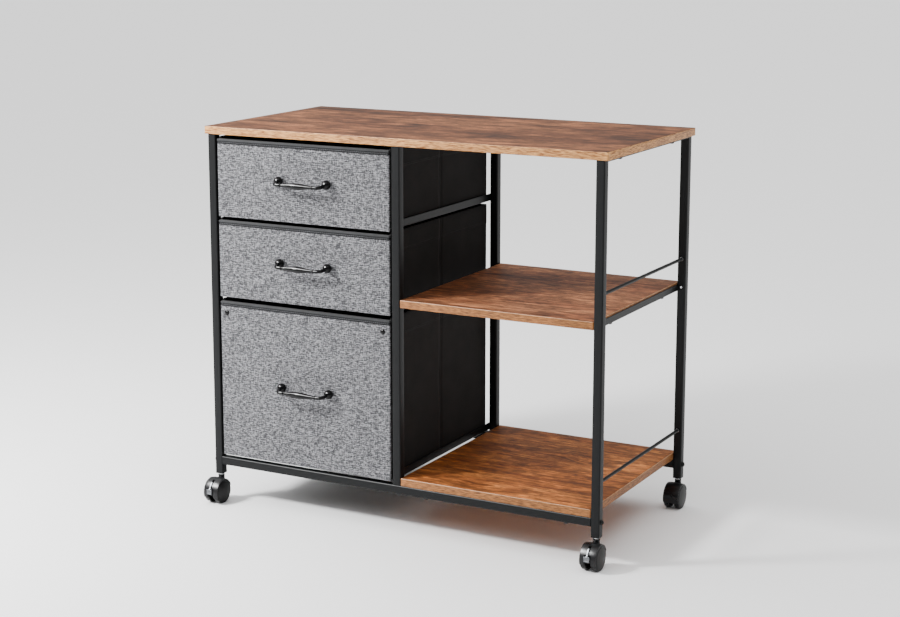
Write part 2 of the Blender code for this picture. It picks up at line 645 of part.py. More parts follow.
def hood_mesh(braked):
    """Crowned fender over both wheels, a web between them, and the neck that turns on the stem."""
    inner, outer, half = WHEEL_RADIUS + HOOD_GAP, HOOD_RADIUS, WHEEL_OUTER_X
    shoulder, side = outer - HOOD_CROWN_DROP, inner + HOOD_CROWN_DROP
    crown = [(side, half), (shoulder, HOOD_CROWN_SHOULDER * half), (outer, HOOD_CROWN_FLAT * half)]
    mirrored = [(radius, -x) for radius, x in reversed(crown)]
    barrel = lathe("hood", [(0, half)] + crown + mirrored + [(0, -half)], HOOD_STEPS, SIDEWAYS)
    barrel.transform(Matrix.Translation(HUB))
    far = 2 * outer
    neck_depth = SOCKET_DEPTH + HOOD_WALL
    neck = cylinder_mesh("hood_neck", NECK_DIAMETER, neck_depth)
    pocket = cylinder_mesh("hood_pocket", 2 * inner, half, HOOD_STEPS)
    pocket.transform(SIDEWAYS)
    pocket_x = (HOOD_WEB + half) / 2
    sweep = (360 - HOOD_REAR_ANGLE - HOOD_FRONT_ANGLE) / HOOD_OPENING_STEPS
    angles = [HOOD_FRONT_ANGLE + i * sweep for i in range(HOOD_OPENING_STEPS + 1)]
    opening = [around_hub(angle, far) for angle in angles]
    opening += [around_hub(angle, HOOD_HUB_RADIUS) for angle in reversed(angles)]
    socket = cylinder_mesh("hood_socket", STEM_DIAMETER + 2 * CLEARANCE, SOCKET_DEPTH)
    bore = cylinder_mesh("hood_bore", AXLE_DIAMETER + 2 * CLEARANCE, far, 16)
    bore.transform(ALONG_X)
    cuts = [
        ("UNION", neck, (0, 0, NECK_TOP - neck_depth / 2)),
        ("DIFFERENCE", pocket, (pocket_x, HUB.y, HUB.z)),
        ("DIFFERENCE", pocket.copy(), (-pocket_x, HUB.y, HUB.z)),
        ("DIFFERENCE", side_plate("hood_opening", opening, 2 * far), (0, 0, 0)),
        ("DIFFERENCE", socket, (0, 0, NECK_TOP - SOCKET_DEPTH / 2 + CLEARANCE)),
        ("DIFFERENCE", bore, tuple(HUB)),
    ]
    if braked:
        cuts += lever_cuts(inner, far)
    return smooth(merged("hood", barrel, *cuts), 40)


def lever_cuts(inner, far):
    """The slot that the lever comes out of, the holes for its pin and the notch behind its tab."""
    floor = inner - LEVER_PIN_INSET
    slot = [around_hub(angle, radius) for angle, radius in (
        (LEVER_SLOT_ANGLE, floor), (LEVER_SLOT_ANGLE, far), (LEVER_SLOT_END_ANGLE, far),
        (LEVER_SLOT_END_ANGLE, floor))]
    slot_width = LEVER_NECK_WIDTH + 2 * LEVER_SLOT_CLEARANCE
    hole = cylinder_mesh("hood_pin_hole", LEVER_PIN_DIAMETER + CLEARANCE, far, 10)
    hole.transform(ALONG_X)
    notch_width = LEVER_TAB_WIDTH + 2 * LEVER_SWING_CLEARANCE
    notch_top = TAB_TOP + LEVER_SWING_CLEARANCE
    notch_back = WHEEL_RADIUS - LEVER_SWING_CLEARANCE
    notch = box_mesh("hood_notch", (notch_width, far, notch_top))
    return [
        ("DIFFERENCE", side_plate("hood_slot", slot, slot_width), (0, 0, 0)),
        ("DIFFERENCE", hole, tuple(LEVER_PIVOT)),
        ("DIFFERENCE", notch, (0, HUB.y - notch_back - far / 2, notch_top / 2)),
    ]


def lever_mesh():
    """Bent strip: out of the hood's slot from its pin, down the hood's face, ending in a wide tab."""
    stand = HOOD_RADIUS + LEVER_STAND + LEVER_THICKNESS / 2
    path = [(LEVER_PIVOT.y, LEVER_PIVOT.z), around_hub(LEVER_PIVOT_ANGLE, HOOD_RADIUS)]
    for i in range(LEVER_BEND_STEPS + 1):
        share = LEVER_BEND_START + (1 - LEVER_BEND_START) * i / LEVER_BEND_STEPS
        path.append(around_hub(LEVER_PIVOT_ANGLE + share * LEVER_REACH_ANGLE, stand))
    tab_y = HUB.y - stand - LEVER_THICKNESS / 2
    path += [(tab_y, TAB_TOP), (tab_y, TAB_TOP - LEVER_TAB_HEIGHT / 2)]
    neck = strip_mesh("lever_neck", path, LEVER_NECK_WIDTH, LEVER_THICKNESS)
    tab = box_mesh("lever_tab", (LEVER_TAB_WIDTH, LEVER_TAB_THICKNESS, LEVER_TAB_HEIGHT))
    pin = cylinder_mesh("lever_pin", LEVER_PIN_DIAMETER, HOOD_WEB, 10)
    pin.transform(ALONG_X)
    tab_place = (0, tab_y, TAB_TOP - LEVER_TAB_HEIGHT / 2)
    return merged("brake_lever", neck, ("UNION", tab, tab_place), ("UNION", pin, tuple(LEVER_PIVOT)))


def strip_mesh(name, path, width, thickness):
    """A strip of sheet along a side path of (y, z) points: a ribbon across the caster, made solid."""
    curve = bpy.data.curves.new(name, "CURVE")
    curve.dimensions = "3D"
    curve.extrude = width / 2
    spline = curve.splines.new("POLY")
    spline.points.add(len(path) - 1)
    spline.points.foreach_set("co", [c for y, z in path for c in (y, z, 0, 1)])
    ribbon = evaluated_mesh(name, curve, ALONG_X)

    def add_thickness(obj):
        solid = obj.modifiers.new("Sheet", "SOLIDIFY")
        solid.thickness = thickness
        solid.offset = 0
        solid.use_even_offset = True

    return evaluated_mesh(name, ribbon, modifiers=[add_thickness])


def stem_mesh():
    """Turned stem: pin in the hood, collar under the post, and the sleeve that grips the tube."""
    pin, collar = STEM_DIAMETER / 2, COLLAR_DIAMETER / 2
    sleeve = (TUBE_SIZE - 2 * TUBE_WALL) / 2 - CLEARANCE
    collar_bottom = NECK_TOP + CLEARANCE
    collar_top = collar_bottom + COLLAR_HEIGHT
    top = FOOT_Z + SLEEVE_LENGTH
    pin_end = NECK_TOP - SOCKET_DEPTH + 2 * CLEARANCE
    tip = SLEEVE_TIP * sleeve
    profile = [(0, top), (tip, top), (sleeve, top - sleeve + tip), (sleeve, FOOT_Z), (collar, collar_top),
               (collar, collar_bottom), (pin, collar_bottom), (pin, pin_end), (0, pin_end)]
    return lathe("stem", profile, 20)


def axle_mesh():
    length = 2 * (WHEEL_OUTER_X - AXLE_END - CLEARANCE)
    mesh = cylinder_mesh("axle", AXLE_DIAMETER, length, 16)
    mesh.transform(ALONG_X)
    return smooth(mesh)


def add_casters():
    wheel, axle, stem, lever = wheel_mesh(), axle_mesh(), stem_mesh(), lever_mesh()
    hoods = {braked: hood_mesh(braked) for braked in (True, False)}
    mirror = Matrix.Rotation(math.radians(180), 4, "Z")
    x, y = FRAME_HALF - TUBE_SIZE / 2, TUBE_SIZE / 2
    corners = (("front_left", -x, FRONT_Y + y, True), ("front_right", x, FRONT_Y + y, True),
               ("rear_left", -x, REAR_Y - y, False), ("rear_right", x, REAR_Y - y, False))
    for corner, cx, cy, braked in corners:
        place = Vector((cx, cy, 0))
        add_piece(f"{corner}_stem", stem.copy(), ZINC, place)
        swivel = add_empty(f"{corner}_swivel", place)
        add_piece(f"{corner}_hood", hoods[braked].copy(), HOOD_PLASTIC, place, parent=swivel)
        add_piece(f"{corner}_axle", axle.copy(), ZINC, place + HUB, parent=swivel)
        add_piece(f"{corner}_wheel_a", wheel.copy(), WHEEL_PLASTIC, place + HUB, mirror, swivel)
        add_piece(f"{corner}_wheel_b", wheel.copy(), WHEEL_PLASTIC, place + HUB, parent=swivel)
        if braked:
            at_pivot = lever.copy()
            at_pivot.transform(Matrix.Translation(-LEVER_PIVOT))
            add_piece(f"{corner}_brake_lever", at_pivot, ZINC, place + LEVER_PIVOT, parent=swivel)


clear_scene()
PARTS = new_collection("rolling_drawer_cabinet")
CUTTERS = new_collection("cutters")
CUTTERS.hide_render = True
add_boards()
add_posts()
add_top_strips()
add_runners()
add_shelf_rails()
add_guard_rods()
add_drawers()
add_casters()
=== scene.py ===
"""Looks of the rolling drawer cabinet: powder-coated steel, wood-grain boards and fabric drawers.

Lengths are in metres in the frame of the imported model: +Z up, drawers opening towards -Y. Each
sub-assembly is a class, and its surfaces are numpy grids of points that go into meshes whole.
"""

import logging
import math
from dataclasses import dataclass, field
from enum import Enum
from typing import Any, Callable

import bmesh
import bpy
import numpy as np
from mathutils import Matrix, Vector


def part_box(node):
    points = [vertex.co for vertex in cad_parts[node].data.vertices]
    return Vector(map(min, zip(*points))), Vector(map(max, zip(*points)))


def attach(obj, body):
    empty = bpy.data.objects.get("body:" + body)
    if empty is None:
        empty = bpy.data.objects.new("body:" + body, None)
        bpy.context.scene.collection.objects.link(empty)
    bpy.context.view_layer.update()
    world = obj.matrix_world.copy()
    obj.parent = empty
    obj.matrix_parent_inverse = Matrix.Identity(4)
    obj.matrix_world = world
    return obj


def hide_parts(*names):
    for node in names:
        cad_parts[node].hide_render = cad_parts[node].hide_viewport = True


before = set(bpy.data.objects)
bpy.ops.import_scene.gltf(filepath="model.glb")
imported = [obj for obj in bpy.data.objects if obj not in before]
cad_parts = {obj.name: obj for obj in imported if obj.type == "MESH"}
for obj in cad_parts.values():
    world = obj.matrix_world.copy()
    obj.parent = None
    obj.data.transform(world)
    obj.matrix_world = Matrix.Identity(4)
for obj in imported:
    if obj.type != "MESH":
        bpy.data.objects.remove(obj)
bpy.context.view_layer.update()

log = logging.getLogger("rolling_drawer_cabinet")

MM = 0.001
WELD_DISTANCE = 0.002 * MM

Array = np.ndarray
Material = bpy.types.Material
Numbers = float | list[float] | Array
Point = tuple[float, float, float]
Profile = list[tuple[float, float]] | Array


class Axis(Enum):
    """Direction that a turned piece's own height runs in."""

    X = (1.0, 0.0, 0.0)
    NEGATIVE_X = (-1.0, 0.0, 0.0)
    Y = (0.0, 1.0, 0.0)
    NEGATIVE_Y = (0.0, -1.0, 0.0)
    Z = (0.0, 0.0, 1.0)
    NEGATIVE_Z = (0.0, 0.0, -1.0)


class GrainSeed(Enum):
    """Where on one long printed sheet of wood grain each board is cut from, in metres."""

    TOP = (0.0, 0.0, 0.0)
    MIDDLE = (1.7, 0.6, 0.0)
    BOTTOM = (3.9, 1.3, 0.0)


# Colour and shader nodes


def linear(hex_colour: str) -> tuple[float, ...]:
    """Turns an sRGB hex colour into a linear one.

    Args:
        hex_colour: six hex digits.

    Returns:
        Linear red, green and blue, and an alpha of 1.
    """
    channels = np.array([int(hex_colour[i:i + 2], 16) for i in (0, 2, 4)]) / 255
    low, high = channels / 12.92, ((channels + 0.055) / 1.055) ** 2.4
    return (*np.where(channels <= 0.04045, low, high).tolist(), 1.0)


def per_mm(x: float, y: float, z: float) -> Point:
    """Mapping scale that makes one pattern unit as long as these millimetres along each axis."""
    return (1 / (x * MM), 1 / (y * MM), 1 / (z * MM))


class Recipe:
    """A material while it is made: its nodes, and the Object coordinates that its patterns follow."""

    def __init__(self, name: str) -> None:
        """Starts an empty material.

        Args:
            name: the material's name.
        """
        self.material = bpy.data.materials.new(name)
        self.material.use_nodes = True
        self.material.node_tree.nodes.clear()
        self.place = self.add("TexCoord", output="Object")

    def add(self, kind: str, inputs: dict[int | str, Any] | None = None, output: int | str = 0,
            stops: tuple[tuple[float, str], ...] = (), **settings: Any) -> bpy.types.NodeSocket | None:
        """Adds a shader node with its links and settings.

        Args:
            kind: the node's type, without the leading "ShaderNode".
            inputs: for each input socket, a value to set or an output socket to link from.
            output: the output socket to hand back.
            stops: the (position, hex colour) pairs of a colour ramp.
            settings: the node's other properties.

        Returns:
            The output socket, or None for a node that has none.
        """
        tree = self.material.node_tree
        node = tree.nodes.new("ShaderNode" + kind)
        for key, value in settings.items():
            setattr(node, key, value)
        if stops:
            elements = node.color_ramp.elements
            while len(elements) < len(stops):
                elements.new(0.5)
            for element, (position, colour) in zip(elements, stops):
                element.position = position
                element.color = linear(colour)
        for key, value in (inputs or {}).items():
            if isinstance(value, bpy.types.NodeSocket):
                tree.links.new(value, node.inputs[key])
            else:
                node.inputs[key].default_value = value
        return node.outputs[output] if node.outputs else None

    def finish(self, inputs: dict[str, Any]) -> Material:
        """Gives the material a Principled shader with these inputs, and hands it back."""
        self.add("OutputMaterial", {"Surface": self.add("BsdfPrincipled", inputs)})
        return self.material


# Finishes


@dataclass(frozen=True)
class HardFinish:
    """A hard skin: its grain gives a fine bump, and its roughness varies with the grain or the flow.

    The grain, the flow and the mottle are sizes in millimetres. A flow of 0 means that the roughness
    follows the grain, and a mottle of 0 that the colour is the same all over.
    """

    name: str
    colour: str
    roughness: float
    gloss: float = 0.5
    grain: Point = (0.8, 0.8, 0.8)
    detail: float = 2.0
    relief: float = 0.4
    depth: float = 0.03 * MM
    spread: tuple[float, float] = (-0.05, 0.08)
    flow: float = 0.0
    mottle: float = 0.0
    worn: str = ""
    metallic: float = 0.0

    def material(self) -> Material:
        """Makes the skin from its grain, its flow and its mottle.

        Returns:
            The new material.
        """
        recipe = Recipe(self.name)
        scaled = recipe.add("Mapping", {"Vector": recipe.place, "Scale": per_mm(*self.grain)})
        grain = recipe.add("TexNoise", {"Vector": scaled, "Scale": 1.0, "Detail": self.detail})
        flow = recipe.add("TexNoise", {
            "Vector": recipe.place, "Scale": 1 / (self.flow * MM), "Detail": 2.0,
            "Distortion": 0.8}) if self.flow else grain
        colour = linear(self.colour)
        if self.mottle:
            mottle = recipe.add("TexNoise", {
                "Vector": recipe.place, "Scale": 1 / (self.mottle * MM), "Detail": 3.0})
            colour = recipe.add("Mix", {0: mottle, 6: colour, 7: linear(self.worn)}, 2, data_type="RGBA")
        return recipe.finish({
            "Base Color": colour,
            "Normal": recipe.add("Bump", {
                "Strength": self.relief, "Distance": self.depth, "Height": grain}),
            "Roughness": recipe.add("MapRange", {
                "Value": flow, "To Min": self.roughness + self.spread[0],
                "To Max": self.roughness + self.spread[1]}),
            "Specular IOR Level": self.gloss, "Metallic": self.metallic})


@dataclass(frozen=True)
class PowderCoat(HardFinish):
    """Polyester powder baked on steel: a fine orange-peel skin that blurs every highlight."""

    name: str = "powder_coat"
    colour: str = "0D0E0F"
    worn: str = "131415"
    roughness: float = 0.38
    gloss: float = 0.13
    grain: Point = (1.1, 1.1, 1.1)
    relief: float = 0.55
    depth: float = 0.05 * MM
    spread: tuple[float, float] = (-0.06, 0.06)
    mottle: float = 45.0


@dataclass(frozen=True)
class Enamel(HardFinish):
    """Stoved gloss enamel on a zinc casting: near black, with soft pulls in its highlights."""

    name: str = "gloss_enamel"
    colour: str = "040405"
    roughness: float = 0.07
    gloss: float = 0.16
    grain: Point = (9.0, 9.0, 9.0)
    detail: float = 1.0
    relief: float = 0.1
    depth: float = 0.05 * MM
    spread: tuple[float, float] = (-0.03, 0.04)


@dataclass(frozen=True)
class ZincPlate(HardFinish):
    """Bright zinc on turned or pressed steel: a light metal with fine tool lines 0.7 mm apart."""

    name: str = "bright_zinc"
    colour: str = "C4C6C8"
    roughness: float = 0.26
    grain: Point = (4.0, 4.0, 0.7)
    relief: float = 0.25
    spread: tuple[float, float] = (-0.06, 0.1)
    metallic: float = 1.0


@dataclass(frozen=True)
class MouldedNylon(HardFinish):
    """Injection-moulded nylon from a spark-eroded tool: satin, with a 0.8 mm grain and flow marks."""

    gloss: float = 0.3
    flow: float = 25.0


@dataclass(frozen=True)
class BlackOxide(HardFinish):
    """Chemically blackened steel: a dark satin skin whose gloss wanders a little."""

    name: str = "blackened_screw"
    colour: str = "0A0A0B"
    roughness: float = 0.34
    gloss: float = 0.22
    grain: Point = (0.5, 0.5, 0.5)
    depth: float = 0.02 * MM
    flow: float = 25.0


@dataclass(frozen=True)
class WoodLaminate:
    """Printed melamine paper pressed on particle board: a rustic brown print with knots and cracks.

    The grain runs along X. Its bands are 75 mm wide, its lines 4.5 mm and its pores 1.2 mm.
    """

    name: str
    seed: GrainSeed
    light: str
    middle: str
    deep: str
    knot: str = "3A2418"
    roughness: float = 0.48
    gloss: float = 0.14
    knot_cell: Point = (330, 150, 150)
    knot_push: float = 26 * MM

    def material(self) -> Material:
        """Makes the print from noise that is stretched along the grain and pushed aside by knots.

        Returns:
            The new material.
        """
        recipe = Recipe(self.name)
        placed = recipe.add("Mapping", {"Vector": recipe.place, "Location": self.seed.value})
        cells = recipe.add("Mapping", {"Vector": placed, "Scale": per_mm(*self.knot_cell)})
        knots = recipe.add("TexVoronoi", {"Vector": cells, "Scale": 1.0, "Randomness": 0.9}, feature="F1")

        patterns = {}
        for name, low, high, strength in (("near", 0.02, 0.34, 1.0), ("core", 0.03, 0.13, 0.8)):
            patterns[name] = recipe.add("MapRange", {
                "Value": knots, "From Min": low, "From Max": high, "To Min": strength, "To Max": 0.0},
                interpolation_type="SMOOTHSTEP")
        push = recipe.add("CombineXYZ", {"Y": recipe.add("Math", {
            0: patterns["near"], 1: self.knot_push}, operation="MULTIPLY")})
        bent = recipe.add("VectorMath", {0: placed, 1: push}, operation="ADD")

        # Each pattern is as long and as wide as these millimetres, with its detail and its warp
        for name, length, width, detail, warp, vector in (
                ("bands", 260, 75, 3.0, 0.8, bent), ("lines", 95, 4.5, 5.0, 1.0, bent),
                ("cloud", 100, 34, 5.0, 1.2, placed), ("pores", 16, 1.2, 2.0, 0.0, bent),
                ("cracks", 60, 13, 6.0, 2.0, bent), ("scrapes", 20, 11, 4.0, 0.6, placed)):
            scaled = recipe.add("Mapping", {"Vector": vector, "Scale": per_mm(length, width, width)})
            patterns[name] = recipe.add("TexNoise", {
                "Vector": scaled, "Scale": 1.0, "Detail": detail, "Roughness": 0.62, "Distortion": warp})

        cracked = recipe.add("MapRange", {
            "Value": patterns["cracks"], "From Min": 0.28, "From Max": 0.40, "To Min": 0.85,
            "To Max": 0.0}, interpolation_type="SMOOTHSTEP")
        pored = recipe.add("MapRange", {
            "Value": patterns["pores"], "From Min": 0.34, "From Max": 0.46, "To Min": 0.5, "To Max": 0.0})

        # The bands give the colour, and the greys lay lines, cloud and scrapes over it
        tones = {}
        for name, stops in (
                ("bands", ((0.28, self.deep), (0.44, self.middle), (0.60, self.light), (0.78, self.middle))),
                ("lines", ((0.40, "7E756E"), (0.5, "D0CCC8"), (0.60, "FFFFFF"))),
                ("cloud", ((0.36, "4C4A4A"), (0.50, "9C9A98"), (0.64, "E4E0DC"))),
                ("scrapes", ((0.38, "626060"), (0.50, "BCBAB8"), (0.62, "F0EEEC")))):
            tones[name] = recipe.add("ValToRGB", {"Fac": patterns[name]}, stops=stops)
        colour, knot = tones["bands"], linear(self.knot)
        for factor, layer, blend in (
                (0.8, tones["lines"], "MULTIPLY"), (0.55, tones["cloud"], "OVERLAY"),
                (0.40, tones["scrapes"], "OVERLAY"), (cracked, knot, "MIX"),
                (patterns["core"], knot, "MIX"), (pored, knot, "MIX")):
            colour = recipe.add("Mix", {0: factor, 6: colour, 7: layer}, 2, data_type="RGBA",
                                blend_type=blend, clamp_result=True)
        return recipe.finish({
            "Base Color": colour,
            "Normal": recipe.add("Bump", {
                "Strength": 0.25, "Distance": 0.08 * MM, "Height": patterns["pores"]}),
            "Roughness": recipe.add("MapRange", {
                "Value": patterns["lines"], "To Min": self.roughness - 0.06,
                "To Max": self.roughness + 0.10}),
            "Specular IOR Level": self.gloss})


@dataclass(frozen=True)
class EdgeBand:
    """Printed edging tape: a wood print in short streaks along the edge, 12 mm long and 0.8 mm high."""

    name: str
    seed: GrainSeed
    light: str
    deep: str
    roughness: float = 0.45
    gloss: float = 0.22

    def material(self) -> Material:
        """Makes the streaks, over a slow change of tone.

        Returns:
            The new material.
        """
        recipe = Recipe(self.name)
        placed = recipe.add("Mapping", {
            "Vector": recipe.place, "Location": self.seed.value, "Scale": per_mm(12, 12, 0.8)})
        streaks = recipe.add("TexNoise", {
            "Vector": placed, "Scale": 1.0, "Detail": 6.0, "Distortion": 0.3})
        slow = recipe.add("TexNoise", {"Vector": recipe.place, "Scale": 1 / (70 * MM), "Detail": 3.0})
        tone = recipe.add("ValToRGB", {"Fac": streaks}, stops=((0.38, self.deep), (0.60, self.light)))
        shade = recipe.add("ValToRGB", {"Fac": slow}, stops=((0.3, "9A9A9A"), (0.7, "D2D2D2")))
        return recipe.finish({
            "Base Color": recipe.add("Mix", {0: 0.45, 6: tone, 7: shade}, 2, data_type="RGBA",
                                     blend_type="OVERLAY", clamp_result=True),
            "Roughness": self.roughness, "Specular IOR Level": self.gloss})


@dataclass(frozen=True)
class Linen:
    """Heathered polyester linen glued over a board: pale and dark slubs crossing in a plain weave.

    The threads are 0.7 mm apart, as on the real cloth. A second, coarser weave, 3.6 mm apart, stands
    for the heather, so that the cloth still looks woven when the whole cabinet is in view.
    """

    name: str = "heathered_linen"
    light: str = "87878B"
    middle: str = "565658"
    dark: str = "2C2C30"
    thread_mm: float = 0.7
    heather_mm: float = 3.6
    slub_mm: float = 7.5

    def material(self) -> Material:
        """Colours the cloth by weft and warp slubs and flecks, then paints shade between the threads and
        light on their crowns, and bumps each thread.

        The slubs and the flecks are added up, each by its own share, and so are the threads.

        Returns:
            The new material.
        """
        recipe = Recipe(self.name)
        # Weft slubs, warp slubs and flecks: millimetres across and up the face, detail and share
        flecks = 0.0
        for x, z, detail, share in ((self.slub_mm, 1.5, 1.0, 1.0), (1.6, 0.8 * self.slub_mm, 1.0, 0.6),
                                    (1.6, 1.0, 0.0, 0.5)):
            scaled = recipe.add("Mapping", {
                "Vector": recipe.place, "Scale": per_mm(x, self.slub_mm, z)})
            noise = recipe.add("TexNoise", {"Vector": scaled, "Scale": 1.0, "Detail": detail})
            flecks = recipe.add("Math", {0: noise, 1: share, 2: flecks}, operation="MULTIPLY_ADD")
        # The coarse weave is added to the flecks. A wave texture of scale 1 repeats every pi / 10 units.
        sums = {self.heather_mm: flecks, self.thread_mm: 0.0}
        for spacing, weft, warp in ((self.heather_mm, 0.08, 0.064), (self.thread_mm, 1.0, 0.8)):
            for direction, share in (("Z", weft), ("X", warp)):
                threads = recipe.add("TexWave", {
                    "Vector": recipe.place, "Scale": math.pi / (10 * spacing * MM), "Distortion": 2.5,
                    "Detail": 2.0, "Detail Scale": 1.5}, "Fac", bands_direction=direction)
                sums[spacing] = recipe.add("Math", {
                    0: threads, 1: share, 2: sums[spacing]}, operation="MULTIPLY_ADD")
        heather, weave = sums.values()
        spread = recipe.add("MapRange", {"Value": heather, "From Min": 0.53, "From Max": 1.73})
        tone = recipe.add("ValToRGB", {"Fac": spread}, stops=(
            (0.34, self.dark), (0.5, self.middle), (0.66, self.light)))
        # Painted shade between the threads and painted light on their crowns, multiplied into the colour
        shade = recipe.add("MapRange", {"Value": weave, "From Max": 1.8, "To Min": 0.70, "To Max": 1.30})
        rise = recipe.add("Math", {0: flecks, 1: 0.8, 2: weave}, operation="MULTIPLY_ADD")
        return recipe.finish({
            "Base Color": recipe.add("Mix", {0: 1.0, 6: tone, 7: shade}, 2, data_type="RGBA",
                                     blend_type="MULTIPLY", clamp_result=True),
            "Normal": recipe.add("Bump", {"Strength": 0.4, "Distance": 0.2 * MM, "Height": rise}),
            "Roughness": 0.95, "Specular IOR Level": 0.2, "Sheen Weight": 0.1})


@dataclass(frozen=True)
class Fibre:
    """Polypropylene fibre, needled into felt or spun into thread: matt and dark, with a short pile."""

    name: str
    dark: str
    light: str
    fibre_mm: float = 1.4
    sheen: float = 0.12

    def material(self) -> Material:
        """Makes tangled fibre noise for colour and bump, over a slow mottle.

        Returns:
            The new material.
        """
        recipe = Recipe(self.name)
        fibre = recipe.add("TexNoise", {
            "Vector": recipe.place, "Scale": 1 / (self.fibre_mm * MM), "Detail": 4.0, "Distortion": 1.2})
        slow = recipe.add("TexNoise", {"Vector": recipe.place, "Scale": 1 / (40 * MM), "Detail": 2.0})
        both = recipe.add("Math", {0: slow, 1: 0.5, 2: fibre}, operation="MULTIPLY_ADD")
        return recipe.finish({
            "Base Color": recipe.add("ValToRGB", {"Fac": both}, stops=(
                (0.55, self.dark), (0.95, self.light))),
            "Normal": recipe.add("Bump", {"Strength": 0.5, "Distance": 0.3 * MM, "Height": fibre}),
            "Roughness": 0.9, "Specular IOR Level": 0.2, "Sheen Weight": self.sheen})


@dataclass(frozen=True)
class Twill:
    """Woven binding tape: diagonal ribs with painted shade in their furrows, paler where they are worn.

    Real ribs are about 0.8 mm apart. They are drawn 2.4 mm apart so that the rope-like line shows.
    """

    name: str = "twill_binding"
    dark: str = "0A0A0B"
    light: str = "2A2B2D"
    rib_mm: float = 2.4
    lean: float = 35.0

    def material(self) -> Material:
        """Runs a diagonal wave across the tape as painted shade in its furrows, breaks it with noise, and
        bumps the ribs.

        Returns:
            The new material.
        """
        recipe = Recipe(self.name)
        leaning = recipe.add("Mapping", {
            "Vector": recipe.place, "Rotation": (0.0, math.radians(self.lean), 0.0)})
        # A wave texture of scale 1 repeats 3.2 times in a unit
        ribs = recipe.add("TexWave", {
            "Vector": leaning, "Scale": 1 / (3.2 * self.rib_mm * MM), "Distortion": 1.5,
            "Detail": 2.0}, "Fac")
        worn = recipe.add("TexNoise", {"Vector": recipe.place, "Scale": 1 / (3.5 * MM), "Detail": 3.0})
        # The colour follows the ribs: painted shade where they dip into furrows
        both = recipe.add("Math", {0: ribs, 1: worn}, operation="MULTIPLY")
        return recipe.finish({
            "Base Color": recipe.add("ValToRGB", {"Fac": both}, stops=(
                (0.08, self.dark), (0.55, self.light))),
            "Normal": recipe.add("Bump", {"Strength": 0.6, "Distance": 0.4 * MM, "Height": ribs}),
            "Roughness": 0.9, "Specular IOR Level": 0.1})


@dataclass(frozen=True)
class Hardboard:
    """Hardboard insert: pressed brown fibres in flecks about 2 mm long, with a smooth face."""

    name: str = "hardboard"
    dark: str = "4E3A26"
    light: str = "7A6042"
    fleck_mm: float = 2.0

    def material(self) -> Material:
        """Makes the fibre flecks.

        Returns:
            The new material.
        """
        recipe = Recipe(self.name)
        fleck = recipe.add("TexNoise", {
            "Vector": recipe.place, "Scale": 1 / (self.fleck_mm * MM), "Detail": 5.0, "Distortion": 1.5})
        return recipe.finish({
            "Base Color": recipe.add("ValToRGB", {"Fac": fleck}, stops=(
                (0.35, self.dark), (0.65, self.light))),
            "Roughness": 0.75})


Finish = HardFinish | WoodLaminate | EdgeBand | Linen | Fibre | Twill | Hardboard


def made(finish: Finish) -> Any:
    """A dataclass field whose value is this finish's material, made when the cabinet is."""
    return field(default_factory=finish.material)


@dataclass(frozen=True)
class FinishSet:
    """Every finish on the cabinet, made once and shared by its pieces."""

    coat: Material = made(PowderCoat())
    rod: Material = made(PowderCoat("rod_paint", "0A0B0B", 0.42, 0.20, worn="101111"))
    linen: Material = made(Linen())
    bin_felt: Material = made(Fibre("bin_felt", "0B0A0A", "1C1A19", 1.4, 0.04))
    binding: Material = made(Twill())
    fold: Material = made(Fibre("fold_felt", "1E1F20", "343537", 1.2, 0.03))
    cord: Material = made(Fibre("binding_thread", "2A2B2D", "5C5D60", 0.6, 0.06))
    thread: Material = made(Fibre("sewing_thread", "1E1E20", "343437", 0.5, 0.1))
    enamel: Material = made(Enamel())
    zinc: Material = made(ZincPlate())
    lever: Material = made(ZincPlate("dulled_zinc", "66686B", 0.42))
    hood: Material = made(MouldedNylon("hood_nylon", "101012", 0.28, 0.26))
    wheel: Material = made(MouldedNylon("wheel_nylon", "0A0A0B", 0.34, 0.16))
    screw: Material = made(BlackOxide())
    hardboard: Material = made(Hardboard())
    # The top's print is darker than the shelves' print of the same sheet, as painted shade
    top_print_with_painted_shade: Material = made(WoodLaminate("top_print_with_painted_shade", GrainSeed.TOP, "A46C48", "7C4E34", "4A3022"))
    # The middle shelf's print is lighter, as painted light against the shade under the top
    middle_print_with_painted_light: Material = made(WoodLaminate(
        "middle_print_with_painted_light", GrainSeed.MIDDLE, "CC8C62", "A66A48", "724630"))
    bottom_print: Material = made(WoodLaminate(
        "bottom_print", GrainSeed.BOTTOM, "D68A4A", "B46C36", "744222"))
    top_edge: Material = made(EdgeBand("top_edge_band", GrainSeed.TOP, "D29A5E", "784520"))
    # A paler copy of the shelf edge tape, painted as the highlight along the shelves' upper arris
    shelf_arris_painted_highlight: Material = made(EdgeBand("upper_arris", GrainSeed.BOTTOM, "CCA07A", "A0704A"))
    # The shelf edge tape: its own streaked print, darkened further as painted shade
    shelf_edge_with_painted_shade: Material = made(EdgeBand("shelf_edge_band_with_painted_shade", GrainSeed.BOTTOM, "A26A3A", "583419"))


# Surfaces


@dataclass(frozen=True)
class Grid:
    """A surface as rows and columns of points, which may close on itself either way.

    Keep, where it is given, is true for each cell that has a face.
    """

    points: Array
    close_rows: bool = False
    close_columns: bool = False
    keep: Array | None = None

    def faces(self, start: int) -> Array:
        """Quads of point numbers, one for each cell that is kept.

        Args:
            start: the number of this grid's first point in the mesh.

        Returns:
            Rows of four point numbers.
        """
        rows, columns = self.points.shape[:2]
        r = np.arange(rows if self.close_rows else rows - 1)[:, None]
        c = np.arange(columns if self.close_columns else columns - 1)[None, :]
        r2, c2 = (r + 1) % rows, (c + 1) % columns
        quads = np.stack([r * columns + c, r * columns + c2, r2 * columns + c2, r2 * columns + c], axis=-1)
        quads = quads.reshape(-1, 4) if self.keep is None else quads[self.keep]
        return quads + start


